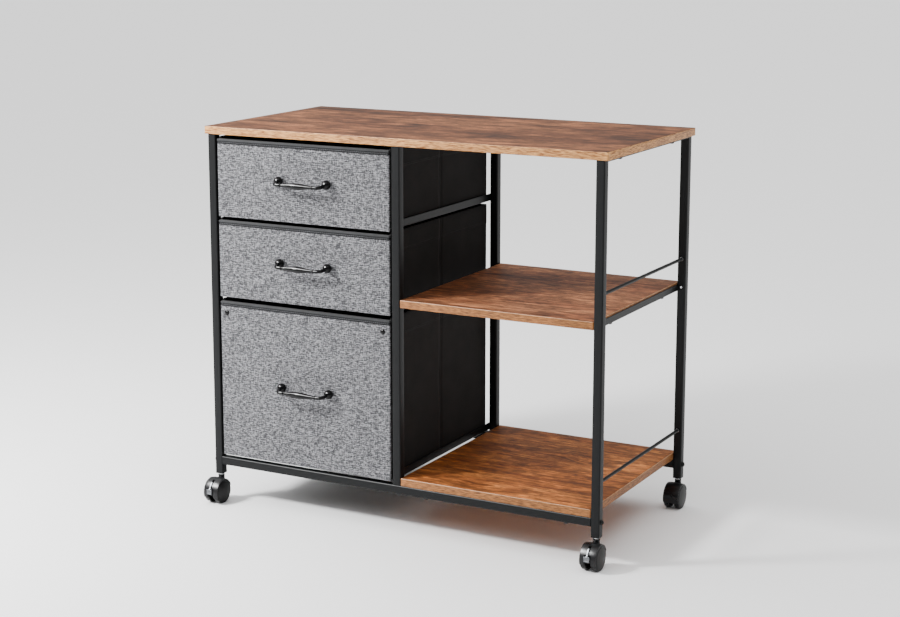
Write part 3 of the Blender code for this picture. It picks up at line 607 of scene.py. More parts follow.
@dataclass
class Piece:
    """One visible piece: grids that are welded into a mesh, with its finish and its body."""

    name: str
    body: str
    slot: str
    material: Material
    grids: list[Grid]
    replaces: tuple[str, ...] = ()
    sharp_angle: float = 40.0
    wall: float = 0.0
    bevel: float = 0.0
    turn_out: bool = True

    def build(self) -> None:
        """Puts the grids into one mesh at the origin, welds it, and gives it to its body."""
        starts = np.cumsum([0] + [grid.points.size // 3 for grid in self.grids])
        points = np.concatenate([grid.points.reshape(-1, 3) for grid in self.grids])
        faces = np.concatenate([grid.faces(int(start)) for grid, start in zip(self.grids, starts)])
        mesh = bpy.data.meshes.new(self.name)
        mesh.from_pydata(points.tolist(), [], faces.tolist())
        work = bmesh.new()
        work.from_mesh(mesh)
        bmesh.ops.remove_doubles(work, verts=work.verts, dist=WELD_DISTANCE)
        bmesh.ops.dissolve_degenerate(work, edges=work.edges, dist=WELD_DISTANCE / 10)
        loose = [vertex for vertex in work.verts if not vertex.link_faces]
        bmesh.ops.delete(work, geom=loose, context="VERTS")
        if self.turn_out:
            bmesh.ops.recalc_face_normals(work, faces=work.faces)
        work.to_mesh(mesh)
        work.free()
        mesh.shade_smooth()
        mesh.set_sharp_from_angle(angle=math.radians(self.sharp_angle))
        mesh.materials.append(self.material)
        piece = bpy.data.objects.new(self.name, mesh)
        bpy.context.scene.collection.objects.link(piece)
        self.thicken(piece)
        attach(piece, self.body)
        if self.replaces:
            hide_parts(*self.replaces)
        log.info("%s rides on %s with %d faces", self.name, self.body, len(mesh.polygons))

    def thicken(self, piece: bpy.types.Object) -> None:
        """Gives an open shell its wall, and eases the wall's edges.

        Args:
            piece: the shell's object.
        """
        if self.wall:
            solid = piece.modifiers.new("Wall", "SOLIDIFY")
            solid.thickness = self.wall
            solid.offset = -1
            solid.use_even_offset = True
        if self.bevel:
            eased = piece.modifiers.new("Eased edges", "BEVEL")
            eased.width = self.bevel
            eased.segments = 2
            eased.angle_limit = math.radians(50)


def turned(profile: Profile, steps: int, centre: Array, axis: Axis) -> Grid:
    """A profile turned round an axis: point = centre + h * axis + r * (cos a * u + sin a * v).

    Args:
        profile: rows of (radius r, height h); an end on the axis has r = 0.
        steps: columns round the full turn.
        centre: where height 0 of the profile lies.
        axis: the direction of height.

    Returns:
        A grid with one row for each profile point.
    """
    direction = np.array(axis.value)
    u = np.array([0.0, 0.0, 1.0]) if abs(direction[2]) < 0.5 else np.array([1.0, 0.0, 0.0])
    angle = np.arange(steps)[:, None] * 2 * math.pi / steps
    ring = np.cos(angle) * u + np.sin(angle) * np.cross(direction, u)
    r, h = np.asarray(profile, dtype=float).T[..., None, None]
    return Grid(centre + h * direction + r * ring, close_columns=True)


def quarter(radius: float, start: float, end: float, steps: int = 5) -> Array:
    """Points on an arc about (0, 0) from start to end, in degrees."""
    angle = np.radians(np.linspace(start, end, steps))
    return radius * np.stack([np.cos(angle), np.sin(angle)], axis=-1)


def rounded_loop(half_a: float, half_b: float, radius: float, steps: int = 5) -> Array:
    """A rectangle with round corners about (0, 0), as straight sides that join four quarter circles.

    Args:
        half_a: half its width.
        half_b: half its height.
        radius: the radius of its corners.
        steps: points in each corner.

    Returns:
        A closed loop of points that runs anticlockwise.
    """
    corners = []
    for turn, (side_a, side_b) in enumerate(((1, 1), (-1, 1), (-1, -1), (1, -1))):
        arc = quarter(radius, 90 * turn, 90 * (turn + 1), steps)
        corners.append(arc + [side_a * (half_a - radius), side_b * (half_b - radius)])
    return np.concatenate(corners)


def swept(loop: Array, low: float, high: float, radius: float) -> tuple[Array, Array, Array]:
    """A loop carried straight from low to high with rounded, closed ends.

    Near each end the loop shrinks by r * (1 - sqrt(1 - t^2)), where t runs from 0 to 1 over the last r.

    Args:
        loop: rows of (a, b) about the section's middle.
        low: where the bar starts along its own length.
        high: where it ends.
        radius: r, the rounding of its ends.

    Returns:
        Grids of the length, a and b, whose first and last rows meet in the section's middle.
    """
    t = np.linspace(1, 0, 4)
    inset = radius * (1 - np.sqrt(1 - t ** 2))
    length = np.concatenate([[low], low + radius * (1 - t), high - radius * (1 - t[::-1]), [high]])
    scale = 1 - np.concatenate([inset, inset[::-1]])[:, None] / np.abs(loop).max(axis=0)
    sections = loop * np.pad(scale, ((1, 1), (0, 0)))[:, None, :]
    return np.broadcast_to(length[:, None], sections.shape[:2]), sections[..., 0], sections[..., 1]


def slab(low: Array, high: Array, radius: float, cells: tuple[int, int], thin: int,
         relief: Callable[[Array, Array], Array] | None = None) -> list[Grid]:
    """A flat board with rounded arrises, as a front grid, a back grid and the strip between them.

    At a distance d < r from the nearest edge both faces fall back by r * (1 - sqrt(1 - (1 - d/r)^2)).

    Args:
        low: the lowest corner.
        high: the highest corner.
        radius: r, at most half the thickness.
        cells: cells across the board's two wide directions.
        thin: the number of the axis that the board is thin along.
        relief: a function of the two wide coordinates that moves the low face inwards.

    Returns:
        Three grids that weld into one closed surface.
    """
    wide = [axis for axis in range(3) if axis != thin]
    near = radius * np.array([0.0, 0.15, 0.4, 0.7])
    a, b = (np.concatenate([low[axis] + near, np.linspace(low[axis] + radius, high[axis] - radius, count + 1),
                            high[axis] - near[::-1]]) for axis, count in zip(wide, cells))
    aa, bb = np.meshgrid(a, b, indexing="ij")
    distance = np.minimum(np.minimum(aa - a[0], a[-1] - aa), np.minimum(bb - b[0], b[-1] - bb))
    share = np.clip(1 - distance / radius, 0, 1)
    fall = radius * (1 - np.sqrt(np.clip(1 - share ** 2, 0, 1)))
    dent = relief(aa, bb) if relief else 0.0
    faces = []
    for depth in (low[thin] + fall + dent, high[thin] - fall):
        points = np.empty((*aa.shape, 3))
        points[..., wide[0]], points[..., wide[1]], points[..., thin] = aa, bb, depth
        faces.append(points)
    rims = [np.concatenate([f[:-1, 0], f[-1, :-1], f[:0:-1, -1], f[0, :0:-1]]) for f in faces]
    return [Grid(faces[0]), Grid(faces[1]), Grid(np.stack(rims), close_columns=True)]


def stitches(starts: Array, along: Point, out: Point, length: float, width: float) -> Grid:
    """A row of stitches, each a flat lens: s(t) = sin(pi t) swells from nothing at both ends.

    Args:
        starts: the middle of each stitch, one row each.
        along: the unit direction of the stitches.
        out: the unit direction out of the cloth.
        length: the length of a stitch.
        width: its width; it stands 0.35 of that out of the cloth.

    Returns:
        One grid with a closed ring of columns, whose joining cells are left out.
    """
    t = np.linspace(0, 1, 5)
    angle = np.arange(6)[:, None] * math.pi / 3
    ring = np.cos(angle) * np.cross(along, out) + 0.7 * np.sin(angle) * np.array(out)
    swell = np.sin(np.pi * t)[:, None, None] * width / 2
    spine = starts[:, None, None, :] + (t - 0.5)[:, None, None] * length * np.array(along)
    points = (spine + swell * ring).reshape(-1, len(angle), 3)
    rows = np.arange(len(points) - 1)
    keep = np.broadcast_to((rows % len(t) != len(t) - 1)[:, None], (len(rows), len(angle)))
    return Grid(points, close_columns=True, keep=keep)


def corners_of(node: str) -> tuple[Array, Array]:
    """A CAD node's lowest and highest corners at rest."""
    low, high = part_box(node)
    return np.array(low), np.array(high)


def middle_of(node: str) -> Array:
    """The middle of a CAD node's box."""
    return sum(corners_of(node)) / 2


def dress(node: str, material: Material) -> None:
    """Gives a CAD node that stays in view its finish.

    Args:
        node: the node's name.
        material: the finish.
    """
    piece = bpy.data.objects[node]
    piece.data.materials.clear()
    piece.data.materials.append(material)
    log.info("%s keeps its solid, in %s", node, material.name)


# Boards


@dataclass(frozen=True)
class Board:
    """A printed particle board with edging tape round its four sides and a strip on its upper arris, paler on
    the shelves as a painted highlight.
    """

    node: str
    slot: str
    face: Material
    edge: Material
    arris_finish: Material
    tape: float = 0.6 * MM
    arris: float = 0.8 * MM
    corner: float = 2.0 * MM
    core_arris: float = 0.25 * MM

    def build(self) -> None:
        """Builds the printed core and the tape that runs round it."""
        low, high = corners_of(self.node)
        inset = np.array([self.tape, self.tape, 0.0])
        core = slab(low + inset, high - inset, self.core_arris, (24, 16), 2)
        Piece(f"{self.node}_core", "frame", self.slot, self.face, core, (self.node,)).build()
        self.build_tape(low, high)

    def build_tape(self, low: Array, high: Array) -> None:
        """Carries two sections round the board: the tape, and its upper arris, which on the shelves is paler
        as a painted highlight.

        The tape is a thin upright whose lower outer arris is rounded; the upper arris is a quarter
        round on top of it. Each loop of their grids is the board's outline, with its round corners,
        drawn in by the section's own depth.

        Args:
            low: the board's lowest corner.
            high: its highest corner.
        """
        middle = (low + high) / 2
        half_height = (high[2] - low[2]) / 2
        r = self.arris
        back, seam = -r - self.tape, half_height - r
        upper = quarter(r, 90, 0) + [-r, seam]
        lower = quarter(r, 0, -90) + [-r, -seam]
        # On the shelves the upper arris strip is paler than the tape, as a painted highlight; on the top it
        # has the tape's own colour
        for name, finish, section in (
                ("edge_tape", self.edge, [[back, seam], [0.0, seam], *lower, [back, -half_height]]),
                ("upper_arris", self.arris_finish, [[back, half_height], *upper, [back, seam]])):
            rows = []
            for depth, height in section:
                loop = rounded_loop(*((high - low)[:2] / 2 + depth), self.corner)
                rows.append(np.pad(loop, ((0, 0), (0, 1))) + middle + [0, 0, height])
            ring = Grid(np.stack(rows), close_rows=True, close_columns=True)
            Piece(f"{self.node}_{name}", "frame", self.slot, finish, [ring], sharp_angle=60).build()


# Steel frame


@dataclass(frozen=True)
class Screw:
    """A pan-head screw with a socket in its top."""

    diameter: float
    height: float
    recess: float

    def grid(self, seat: Array, axis: Axis) -> Grid:
        """The head on its seat: a domed rim, then down into the recess.

        Args:
            seat: the middle of the head's underside.
            axis: the direction that the head stands out in.

        Returns:
            A turned grid with 24 columns.
        """
        r, h, socket = self.diameter / 2, self.height, self.recess / 2
        profile = [(0, 0), (r * 0.96, 0), (r, h * 0.18), (r * 0.97, h * 0.5), (r * 0.84, h * 0.82),
                   (r * 0.62, h * 0.97), (socket * 1.15, h), (socket, h * 0.94), (socket * 0.95, h * 0.35),
                   (0, h * 0.3)]
        return turned(profile, 24, seat, axis)


@dataclass(frozen=True)
class SteelFrame:
    """Posts, rails, strips, runners and shelf rails, with their screws and the two guard rods."""

    finishes: FinishSet
    tube_corner: float = 2.2 * MM
    tube_wall: float = 1.2 * MM
    screw: Screw = Screw(9.0 * MM, 3.6 * MM, 3.6 * MM)
    runner_screw: Screw = Screw(5.0 * MM, 1.2 * MM, 2.0 * MM)
    runner_screw_inset: float = 7.0 * MM
    runner_screw_rise: float = 8.5 * MM
    runner_thickness: float = 1.5 * MM
    shelf_rail_screw_drop: float = 5.0 * MM
    board_screw_inset: float = 64.0 * MM
    shelf_screw_inset: float = 48.0 * MM
    rod_radius: float = 3.0 * MM
    rod_end_gap: float = 0.2 * MM
    washer_thickness: float = 2.5 * MM
    ring_width: float = 0.55 * MM
    ring_taper: float = 0.1 * MM

    def build(self) -> None:
        """Dresses the steel and adds what holds it together."""
        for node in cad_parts:
            if node.endswith(("_post", "_bottom_rail")):
                self.build_tube(node)
            elif node.endswith(("_top_strip", "_runner", "_shelf_rail")):
                dress(node, self.finishes.coat)
        self.build_outer_screws()
        self.build_under_screws()
        self.build_runner_screws()
        self.build_guard_rods()

    def build_tube(self, node: str) -> None:
        """A square tube with round corners, open at both ends, along its own longest side.

        Four loops of one closed grid: outside low, outside high, inside high, inside low.

        Args:
            node: the post or the rail that the tube stands for.
        """
        low, high = corners_of(node)
        along = int(np.argmax(high - low))
        across = [axis for axis in range(3) if axis != along]
        half = (high - low)[across] / 2
        outer = rounded_loop(*half, self.tube_corner, 8)
        inner = rounded_loop(*(half - self.tube_wall), self.tube_corner - self.tube_wall, 8)
        rows = np.empty((4, len(outer), 3))
        for row, (loop, end) in enumerate(((outer, low), (outer, high), (inner, high), (inner, low))):
            rows[row][:, across] = loop + (low + high)[across] / 2
            rows[row][:, along] = end[along]
        Piece(f"{node}_tube", "frame", "powder_coat", self.finishes.coat,
              [Grid(rows, close_rows=True, close_columns=True)], (node,), 50).build()

    def heads(self, name: str, seats: list[tuple[list[float], Axis]], screw: Screw,
              material: Material) -> None:
        """Builds a group of screw heads as one piece on the frame."""
        grids = [screw.grid(np.array(seat), axis) for seat, axis in seats]
        Piece(name, "frame", "powder_coat", material, grids, sharp_angle=35).build()

    def build_outer_screws(self) -> None:
        """Screws through the corner posts into the ends of the bottom rails."""
        seats = []
        for row in ("front", "rear"):
            level = middle_of(f"{row}_bottom_rail")
            for side, end, axis in (("left", 0, Axis.NEGATIVE_X), ("right", 1, Axis.X)):
                seats.append(([corners_of(f"{row}_{side}_post")[end][0], *level[1:]], axis))
        self.heads("rail_end_screws", seats, self.screw, self.finishes.screw)

    def build_under_screws(self) -> None:
        """Screws up through the rails, the top strips and the shelf rails."""
        seats = []
        shelf_low, shelf_high = corners_of("bottom_shelf")
        for row in ("front", "rear"):
            low, high = corners_of(f"{row}_bottom_rail")
            for x in (0.0, shelf_low[0] + self.shelf_screw_inset, shelf_high[0] - self.shelf_screw_inset):
                seats.append(([x, (low[1] + high[1]) / 2, low[2]], Axis.NEGATIVE_Z))
        for node in ("left_top_strip", "middle_top_strip", "right_top_strip", "middle_shelf_rail",
                     "right_shelf_rail"):
            low, high = corners_of(node)
            for y in (low[1] + self.board_screw_inset, high[1] - self.board_screw_inset):
                seats.append(([(low[0] + high[0]) / 2, y, low[2]], Axis.NEGATIVE_Z))
        self.heads("upward_screws", seats, self.screw, self.finishes.screw)

    def build_runner_screws(self) -> None:
        """Bright screws that hold the runners and the shelf rails to their posts."""
        seats = []
        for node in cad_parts:
            if not node.endswith("_runner"):
                continue
            low, high = corners_of(node)
            x, axis = ((low[0] + self.runner_thickness, Axis.X) if node.endswith("left_runner")
                       else (high[0] - self.runner_thickness, Axis.NEGATIVE_X))
            for y in (low[1] + self.runner_screw_inset, high[1] - self.runner_screw_inset):
                seats.append(([x, y, low[2] + self.runner_screw_rise], axis))
        for side in ("middle", "right"):
            level = corners_of(f"{side}_shelf_rail")[1][2] - self.shelf_rail_screw_drop
            for row, end, axis in (("front", 1, Axis.Y), ("rear", 0, Axis.NEGATIVE_Y)):
                post = f"{row}_{side}_post"
                seats.append(([middle_of(post)[0], corners_of(post)[end][1], level], axis))
        self.heads("small_bright_screws", seats, self.runner_screw, self.finishes.zinc)

    def build_guard_rods(self) -> None:
        """Round rods between dark end washers, each with a bright ring where the rod leaves it."""
        r, thick = self.rod_radius, self.washer_thickness
        for level in ("lower", "upper"):
            node = f"{level}_guard_rod"
            low, high = corners_of(node)
            centre, washer, half = (low + high) / 2, (high[0] - low[0]) / 2, (high[1] - low[1]) / 2
            end, face, back = half - self.rod_end_gap, half - 0.5 * thick, half - thick
            rod = [(0, -end), (r, -end), (r, end), (0, end)]
            disc = [(r, half), (washer, half), (washer, half - 0.35 * thick), (washer * 0.9, face), (r, face)]
            ring = [(r, face), (r + self.ring_width, face), (r + self.ring_width - self.ring_taper, back),
                    (r, back)]
            ends = (Axis.Y, Axis.NEGATIVE_Y)
            for name, slot, finish, profile, axes, replaced in (
                    ("rod", "powder_coat", self.finishes.rod, rod, ends[:1], (node,)),
                    ("rod_washers", "powder_coat", self.finishes.coat, disc, ends, ()),
                    ("rod_rings", "zinc", self.finishes.zinc, ring, ends, ())):
                grids = [turned(profile, 32, centre, axis) for axis in axes]
                Piece(f"{level}_{name}", "frame", slot, finish, grids, replaced).build()


# Drawers


@dataclass(frozen=True)
class CastHandle:
    """A cast pull: two ball feet, short legs and a bar that swells like a spindle between two beads."""

    node: str
    body: str
    finishes: FinishSet
    reach: float = 27.7 * MM
    drop: float = 3.3 * MM
    end_inset: float = 2.7 * MM
    bend: float = 9.0 * MM
    ball_radius: float = 8.4 * MM
    ball_stand: float = 7.2 * MM
    foot_rim: float = 0.5 * MM
    foot_height: float = 0.7 * MM
    bar_radius: float = 3.3 * MM
    swell_radius: float = 5.95 * MM
    swell_half: float = 32.0 * MM
    bead_rise: float = 0.9 * MM
    neck_fall: float = 0.45 * MM

    @property
    def centres(self) -> float:
        """The distance between the two balls."""
        low, high = corners_of(self.node)
        return float(high[0] - low[0]) - 2 * self.ball_radius

    def centreline(self) -> Array:
        """Half of the bar's middle line, from a ball to the bar's centre.

        It is a straight leg, a quadratic curve round the corner, and a straight run along X.

        Returns:
            Points from the left ball's middle, with the handle's base as (0, 0, 0).
        """
        foot = np.array([-self.centres / 2, -self.ball_stand, 0.0])
        corner = np.array([-self.centres / 2 + self.end_inset, -self.reach, -self.drop])
        leg = (foot - corner) / np.linalg.norm(foot - corner)
        start, stop = corner + leg * self.bend, corner + np.array([self.bend, 0, 0])
        t = np.linspace(0, 1, 17)[:, None]
        curve = (1 - t) ** 2 * start + 2 * t * (1 - t) * corner + t ** 2 * stop
        run = stop + np.linspace(0, 1, 48)[1:, None] * (np.array([0, -self.reach, -self.drop]) - stop)
        first = foot + np.linspace(0, 1, 5)[:-1, None] * (start - foot)
        return np.concatenate([first, curve, run])

    def radii(self, x: Array) -> Array:
        """The bar's radius: a raised cosine swell, with a bead and a neck at each end of it.

        The bead and the neck are bell curves, just outside and just inside the swell's end.

        Args:
            x: places along the bar from its middle.

        Returns:
            One radius for each place.
        """
        past_end = np.abs(x) - self.swell_half
        share = np.clip(-past_end / self.swell_half, 0, 1)
        swell = (self.swell_radius - self.bar_radius) * (1 - np.cos(np.pi * share)) / 2
        bead = self.bead_rise * np.exp(-((past_end - 1.5 * MM) / (1.1 * MM)) ** 2)
        neck = self.neck_fall * np.exp(-((past_end + 1.2 * MM) / (1.3 * MM)) ** 2)
        return self.bar_radius + swell + bead - neck

    def bar(self, base: Array) -> Grid:
        """A round section carried along the whole middle line.

        The line turns in one tilted plane, so each ring stands on the plane's normal and on the
        direction square to the line in it.

        Args:
            base: where the handle's middle meets the drawer's front.

        Returns:
            The bar's grid, whose ends are hidden in the balls.
        """
        half = self.centreline()
        line = np.concatenate([half, (half * [-1, 1, 1])[-2::-1]])
        tangent = np.gradient(line, axis=0)
        normal = np.array([0, -self.drop, self.reach - self.ball_stand])
        normal /= np.linalg.norm(normal)
        side = np.cross(tangent, normal)
        side /= np.linalg.norm(side, axis=1)[:, None]
        angle = np.arange(28)[:, None] * 2 * math.pi / 28
        ring = np.cos(angle) * normal + np.sin(angle) * side[:, None, :]
        return Grid(base + line[:, None] + self.radii(line[:, 0])[:, None, None] * ring, close_columns=True)

    def ball(self, base: Array, side: int) -> Grid:
        """A ball with a flat back on a thin round foot, turned about the line out of the front.

        Args:
            base: where the handle's middle meets the drawer's front.
            side: -1 for the left ball and 1 for the right one.

        Returns:
            A turned grid.
        """
        r, stand = self.ball_radius, self.ball_stand
        arc = quarter(r, 90, math.degrees(math.asin(-stand / r)), 26) + [0, stand]
        rim = arc[-1, 0] + self.foot_rim
        profile = [(0, stand + r), *arc[1:-1], arc[-1], (arc[-1, 0] + 0.9 * self.foot_rim, self.foot_height),
                   (rim, 0.0), (0, 0.0)]
        return turned(profile, 40, base + [side * self.centres / 2, 0, 0], Axis.NEGATIVE_Y)

    def build(self) -> None:
        """Builds the pull on the drawer's front."""
        low, high = corners_of(self.node)
        base = np.array([(low[0] + high[0]) / 2, high[1], high[2] - self.ball_radius])
        grids = [self.bar(base)] + [self.ball(base, side) for side in (-1, 1)]
        Piece(f"{self.node}_cast", self.body, "gloss_black", self.finishes.enamel, grids,
              (self.node,), 50).build()


@dataclass(frozen=True)
class BinOutline:
    """Points round a bin's outside, in turn along each side and round each corner.

    The normal points outwards. Side is 0 at the middle of a straight side and 1 or -1 at its ends,
    and distance is measured from the middle of the side, along it.
    """

    xy: Array
    normal: Array
    side: Array
    distance: Array


@dataclass(frozen=True)
class FabricDrawer:
    """A folding fabric bin with a hem, a linen front under a binding, and its handle."""

    body: str
    finishes: FinishSet
    files: bool
    seed: int
    hem: float = 36.5 * MM
    hem_proud: float = 0.6 * MM
    clearance: float = 0.3 * MM
    front_arris: float = 1.5 * MM
    front_cell: float = 4.5 * MM
    glue_ripple: float = 0.12 * MM
    tuck: float = 1.0 * MM
    binding: float = 9 * MM
    binding_proud: float = 0.6 * MM
    binding_end: float = 1.0 * MM
    tape_round: float = 0.9 * MM
    fold_round: float = 1.4 * MM
    fold: float = 4.0 * MM
    fold_lap: float = 0.4 * MM
    groove_depth: float = 1.0 * MM
    groove_width: float = 0.8 * MM
    groove_rise: float = 3.0 * MM
    wall: float = 2.5 * MM
    corner: float = 2.5 * MM
    bow: float = 1.0 * MM
    pleat: float = 2.6 * MM
    crease: float = 0.55 * MM
    ripple: float = 0.15 * MM
    unevenness: float = 0.3 * MM
    cord_width: float = 1.5 * MM
    thread_width: float = 0.75 * MM
    stitch: float = 2.7 * MM
    pitch: float = 4.0 * MM
    hem_margin: float = 3.0 * MM
    rail_radius: float = 2.5 * MM

    def build(self) -> None:
        """Builds the drawer from its front backwards."""
        self.build_front()
        self.build_front_binding()
        self.build_bin()
        dress(f"{self.body}_base_board", self.finishes.hardboard)
        CastHandle(f"{self.body}_handle", self.body, self.finishes).build()
        if self.files:
            for side in ("left", "right"):
                self.build_file_rail(f"{side}_file_rail")

    @property
    def front_top(self) -> float:
        """The top of the binding, which is lower than the bin's sides."""
        return float(corners_of(f"{self.body}_front_panel")[1][2]) + self.clearance + self.binding

    def waves(self, u: Array, v: Numbers, depth: float) -> Array:
        """Slow unevenness of cloth: four crossed sines whose phases come from the drawer's seed.

        Each sine turns by one radian in the metres that its place is divided by.

        Args:
            u: places along the cloth, in metres.
            v: places up the cloth.
            depth: about the most that the cloth stands in or out.

        Returns:
            How far it stands in or out at each place.
        """
        phase = np.random.default_rng(self.seed).uniform(0, 2 * math.pi, 8)
        total = (np.sin(u / 0.031 + phase[0]) * np.sin(v / 0.023 + phase[1])
                 + np.sin((u + v) / 0.044 + phase[2]) + np.sin((u - 2 * v) / 0.057 + phase[3])
                 + 0.5 * np.sin(u / 0.012 + phase[4]) * np.sin(v / 0.017 + phase[5]))
        return depth * total / 3.5

    def ripples(self, x: Array) -> Array:
        """How far the binding stands in or out along its length."""
        return self.waves(x, 0.3, self.ripple)

    def build_front(self) -> None:
        """The linen panel: soft arrises, and glue ripples that stay under a third of a millimetre."""
        low, high = corners_of(f"{self.body}_front_panel")
        high[2] += self.clearance + self.tuck
        rows = round((high[2] - low[2]) / self.front_cell)
        grids = slab(low, high, self.front_arris, (80, rows), 1,
                     lambda u, v: self.glue_ripple + self.waves(u, v, self.glue_ripple))
        Piece(f"{self.body}_linen_front", self.body, "linen", self.finishes.linen, grids,
              (f"{self.body}_front_panel",), 60).build()

    def build_front_binding(self) -> None:
        """A twill tape and a felt fold over the top of the panel, with stitches in the tape's groove.

        Both faces of each section fall back by r * (1 - sqrt(1 - t^2)) towards its ends, where t runs
        from 0 to 1 over the last r. The tape's front is pulled in by the stitches as a bell curve.
        """
        low, high = corners_of(f"{self.body}_front_panel")
        front = low[1] - self.binding_proud
        back = high[1] + self.clearance + self.wall + self.binding_proud
        half_y = (back - front) / 2
        bottom, top = self.front_top - self.binding, self.front_top
        for name, low_z, high_z, r, groove, finish in (
                ("tape", bottom, top - self.fold + self.fold_lap, self.tape_round, self.groove_depth,
                 self.finishes.binding),
                ("fold", top - self.fold, top, self.fold_round, 0.0, self.finishes.fold)):
            half_z = (high_z - low_z) / 2
            b = half_z * np.sin(np.linspace(-math.pi / 2, math.pi / 2, 41))
            end = np.clip((np.abs(b) - half_z + r) / r, 0, 1)
            inset = half_y - r * (1 - np.sqrt(1 - end ** 2))
            pulled = groove * np.exp(-((b + half_z - self.groove_rise) / self.groove_width) ** 2)
            loop = np.concatenate([np.column_stack([pulled - inset, b]), np.column_stack([inset, b])[::-1]])
            x, a, b = swept(loop, low[0], high[0], self.binding_end)
            ripple = self.ripples(x)
            strip = np.stack([x, (front + back) / 2 + a + ripple, (low_z + high_z) / 2 + b + 0.5 * ripple],
                             axis=-1)
            Piece(f"{self.body}_binding_{name}", self.body, "bin_felt", finish,
                  [Grid(strip, close_columns=True)], sharp_angle=70).build()
        x = np.arange(low[0] + self.pitch, high[0] - self.pitch, self.pitch)
        starts = np.column_stack([x, front + self.groove_depth + self.ripples(x),
                                  np.full(len(x), bottom + self.groove_rise)])
        row = stitches(starts, (1, 0, 0), (0, -1, 0), self.pitch, self.cord_width)
        Piece(f"{self.body}_front_stitches", self.body, "bin_felt", self.finishes.cord, [row]).build()

    def outline(self, low: Array, high: Array) -> BinOutline:
        """The bin's outside as a rounded rectangle, with extra points at each side's middle fold.

        Args:
            low: the walls' lowest corner.
            high: their highest corner.

        Returns:
            The outline, from the right side round to the front.
        """
        half = (high[:2] - low[:2]) / 2 - self.corner
        centre = (low[:2] + high[:2]) / 2
        spread = np.linspace(-1, 1, 37)[1:-1]
        near = np.array([-3.2, -2.6, -2.0, -1.2, 0, 1.2, 2.0, 2.6, 3.2]) * MM
        points, normals, sides = [], [], []
        for turn, (nx, ny) in enumerate(((1, 0), (0, 1), (-1, 0), (0, -1))):
            reach, run = half if nx else half[::-1]
            place = np.unique(np.concatenate([spread * run, near]))
            out, tangent = np.array([nx, ny], dtype=float), np.array([-ny, nx], dtype=float)
            arc = quarter(1.0, 90 * turn, 90 * (turn + 1), 7)
            points += [centre + out * (reach + self.corner) + place[:, None] * tangent,
                       centre + out * reach + tangent * run + self.corner * arc]
            normals += [np.tile(out, (len(place), 1)), arc]
            sides += [place / run, np.ones(len(arc))]
        xy, normal, side = (np.concatenate(parts) for parts in (points, normals, sides))
        distance = np.where(np.abs(normal[:, 0]) > 0.99, xy[:, 1] - centre[1], xy[:, 0] - centre[0])
        return BinOutline(xy, normal, side, distance)

    def relief(self, outline: BinOutline, share: float) -> Array:
        """How far the wall stands in from flat at a share of its height.

        It bows in between the corners as (1 - s^2) * sin(pi h), and two creases beside the middle
        fold, each a bell curve, let it pack flat.

        Args:
            outline: the bin's outside.
            share: h, which is 0 at the floor and 1 at the rim.

        Returns:
            The depth at each point of the outline.
        """
        bow = self.bow * (1 - outline.side ** 2) * math.sin(math.pi * min(max(share, 0), 1))
        creases = sum(np.exp(-((outline.distance - at) / self.crease) ** 2)
                      for at in (-self.pleat, self.pleat))
        return bow + self.crease * creases * (np.abs(outline.side) < 0.5)

    def build_bin(self) -> None:
        """Walls and floor as one closed skin, lower at the front, then the stitches above the hem's edge.

        Each row of the grid is the outer rectangle drawn in by a depth at a height: across the floor
        outside, up the wall, over the rim, down the inside and across the floor inside.
        """
        low, high = corners_of(f"{self.body}_bin")
        low, high = low + [self.hem_proud, 0, 0], high - [self.hem_proud, self.hem_proud, 0]
        low[1] = corners_of(f"{self.body}_front_panel")[1][1] + self.clearance
        height, wall = high[2] - low[2], self.wall
        step = high[2] - self.front_top + self.tuck
        outline = self.outline(low, high)
        front = np.clip(-outline.normal[:, 1], 0, 1)
        hem_z, rim = height - self.hem, height - 1.4 * MM
        walls = [*np.linspace(3 * MM, hem_z - 1.2 * MM, 14), hem_z - 0.5 * MM]
        hems = [hem_z, *np.linspace(hem_z + 1.5 * MM, rim, 6)]
        # Rows of (depth, height, share of the wall's unevenness)
        rows = [(60 * MM, 0.0, 0), (20 * MM, 0.0, 0), (2.5 * MM, 0.0, 0), (0.8 * MM, 0.6 * MM, 0),
                *((0.0, z, 1) for z in walls), *((-self.hem_proud, z, 1) for z in hems),
                (0.3 * MM, height - 0.3 * MM, 1), (wall / 2, height, 0.5),
                (wall - 0.4 * MM, height - 0.4 * MM, 1),
                *((wall, z, 1) for z in np.linspace(rim, wall + 2 * MM, 12)),
                (wall + 2 * MM, wall, 0), (20 * MM, wall, 0), (60 * MM, wall, 0)]
        middle = np.append((low[:2] + high[:2]) / 2, low[2])
        grids = [np.tile(middle, (len(front), 1))]
        for depth, z, share in rows:
            bend = self.relief(outline, z / height) * share
            uneven = self.uneven(outline, z) * share
            hem_line = depth if depth > 0 else depth * (1 - front)
            inward = hem_line + bend * (1 - front) + uneven
            fall = step * front * np.clip((z - hem_z) / self.hem, 0, 1)
            grids.append(np.column_stack([outline.xy - outline.normal * inward[:, None],
                                          low[2] + z - fall]))
        grids.append(np.tile(middle + [0, 0, wall], (len(front), 1)))
        Piece(f"{self.body}_felt_bin", self.body, "bin_felt", self.finishes.bin_felt,
              [Grid(np.stack(grids), close_columns=True)], (f"{self.body}_bin",), 50).build()
        self.build_hem_stitches(outline, low[2], height)

    def uneven(self, outline: BinOutline, z: float) -> Array:
        """The wall's slow unevenness at a height, which dies out at the corners as 1 - s^4."""
        return self.waves(outline.xy.sum(axis=1), z, self.unevenness) * (1 - outline.side ** 4)

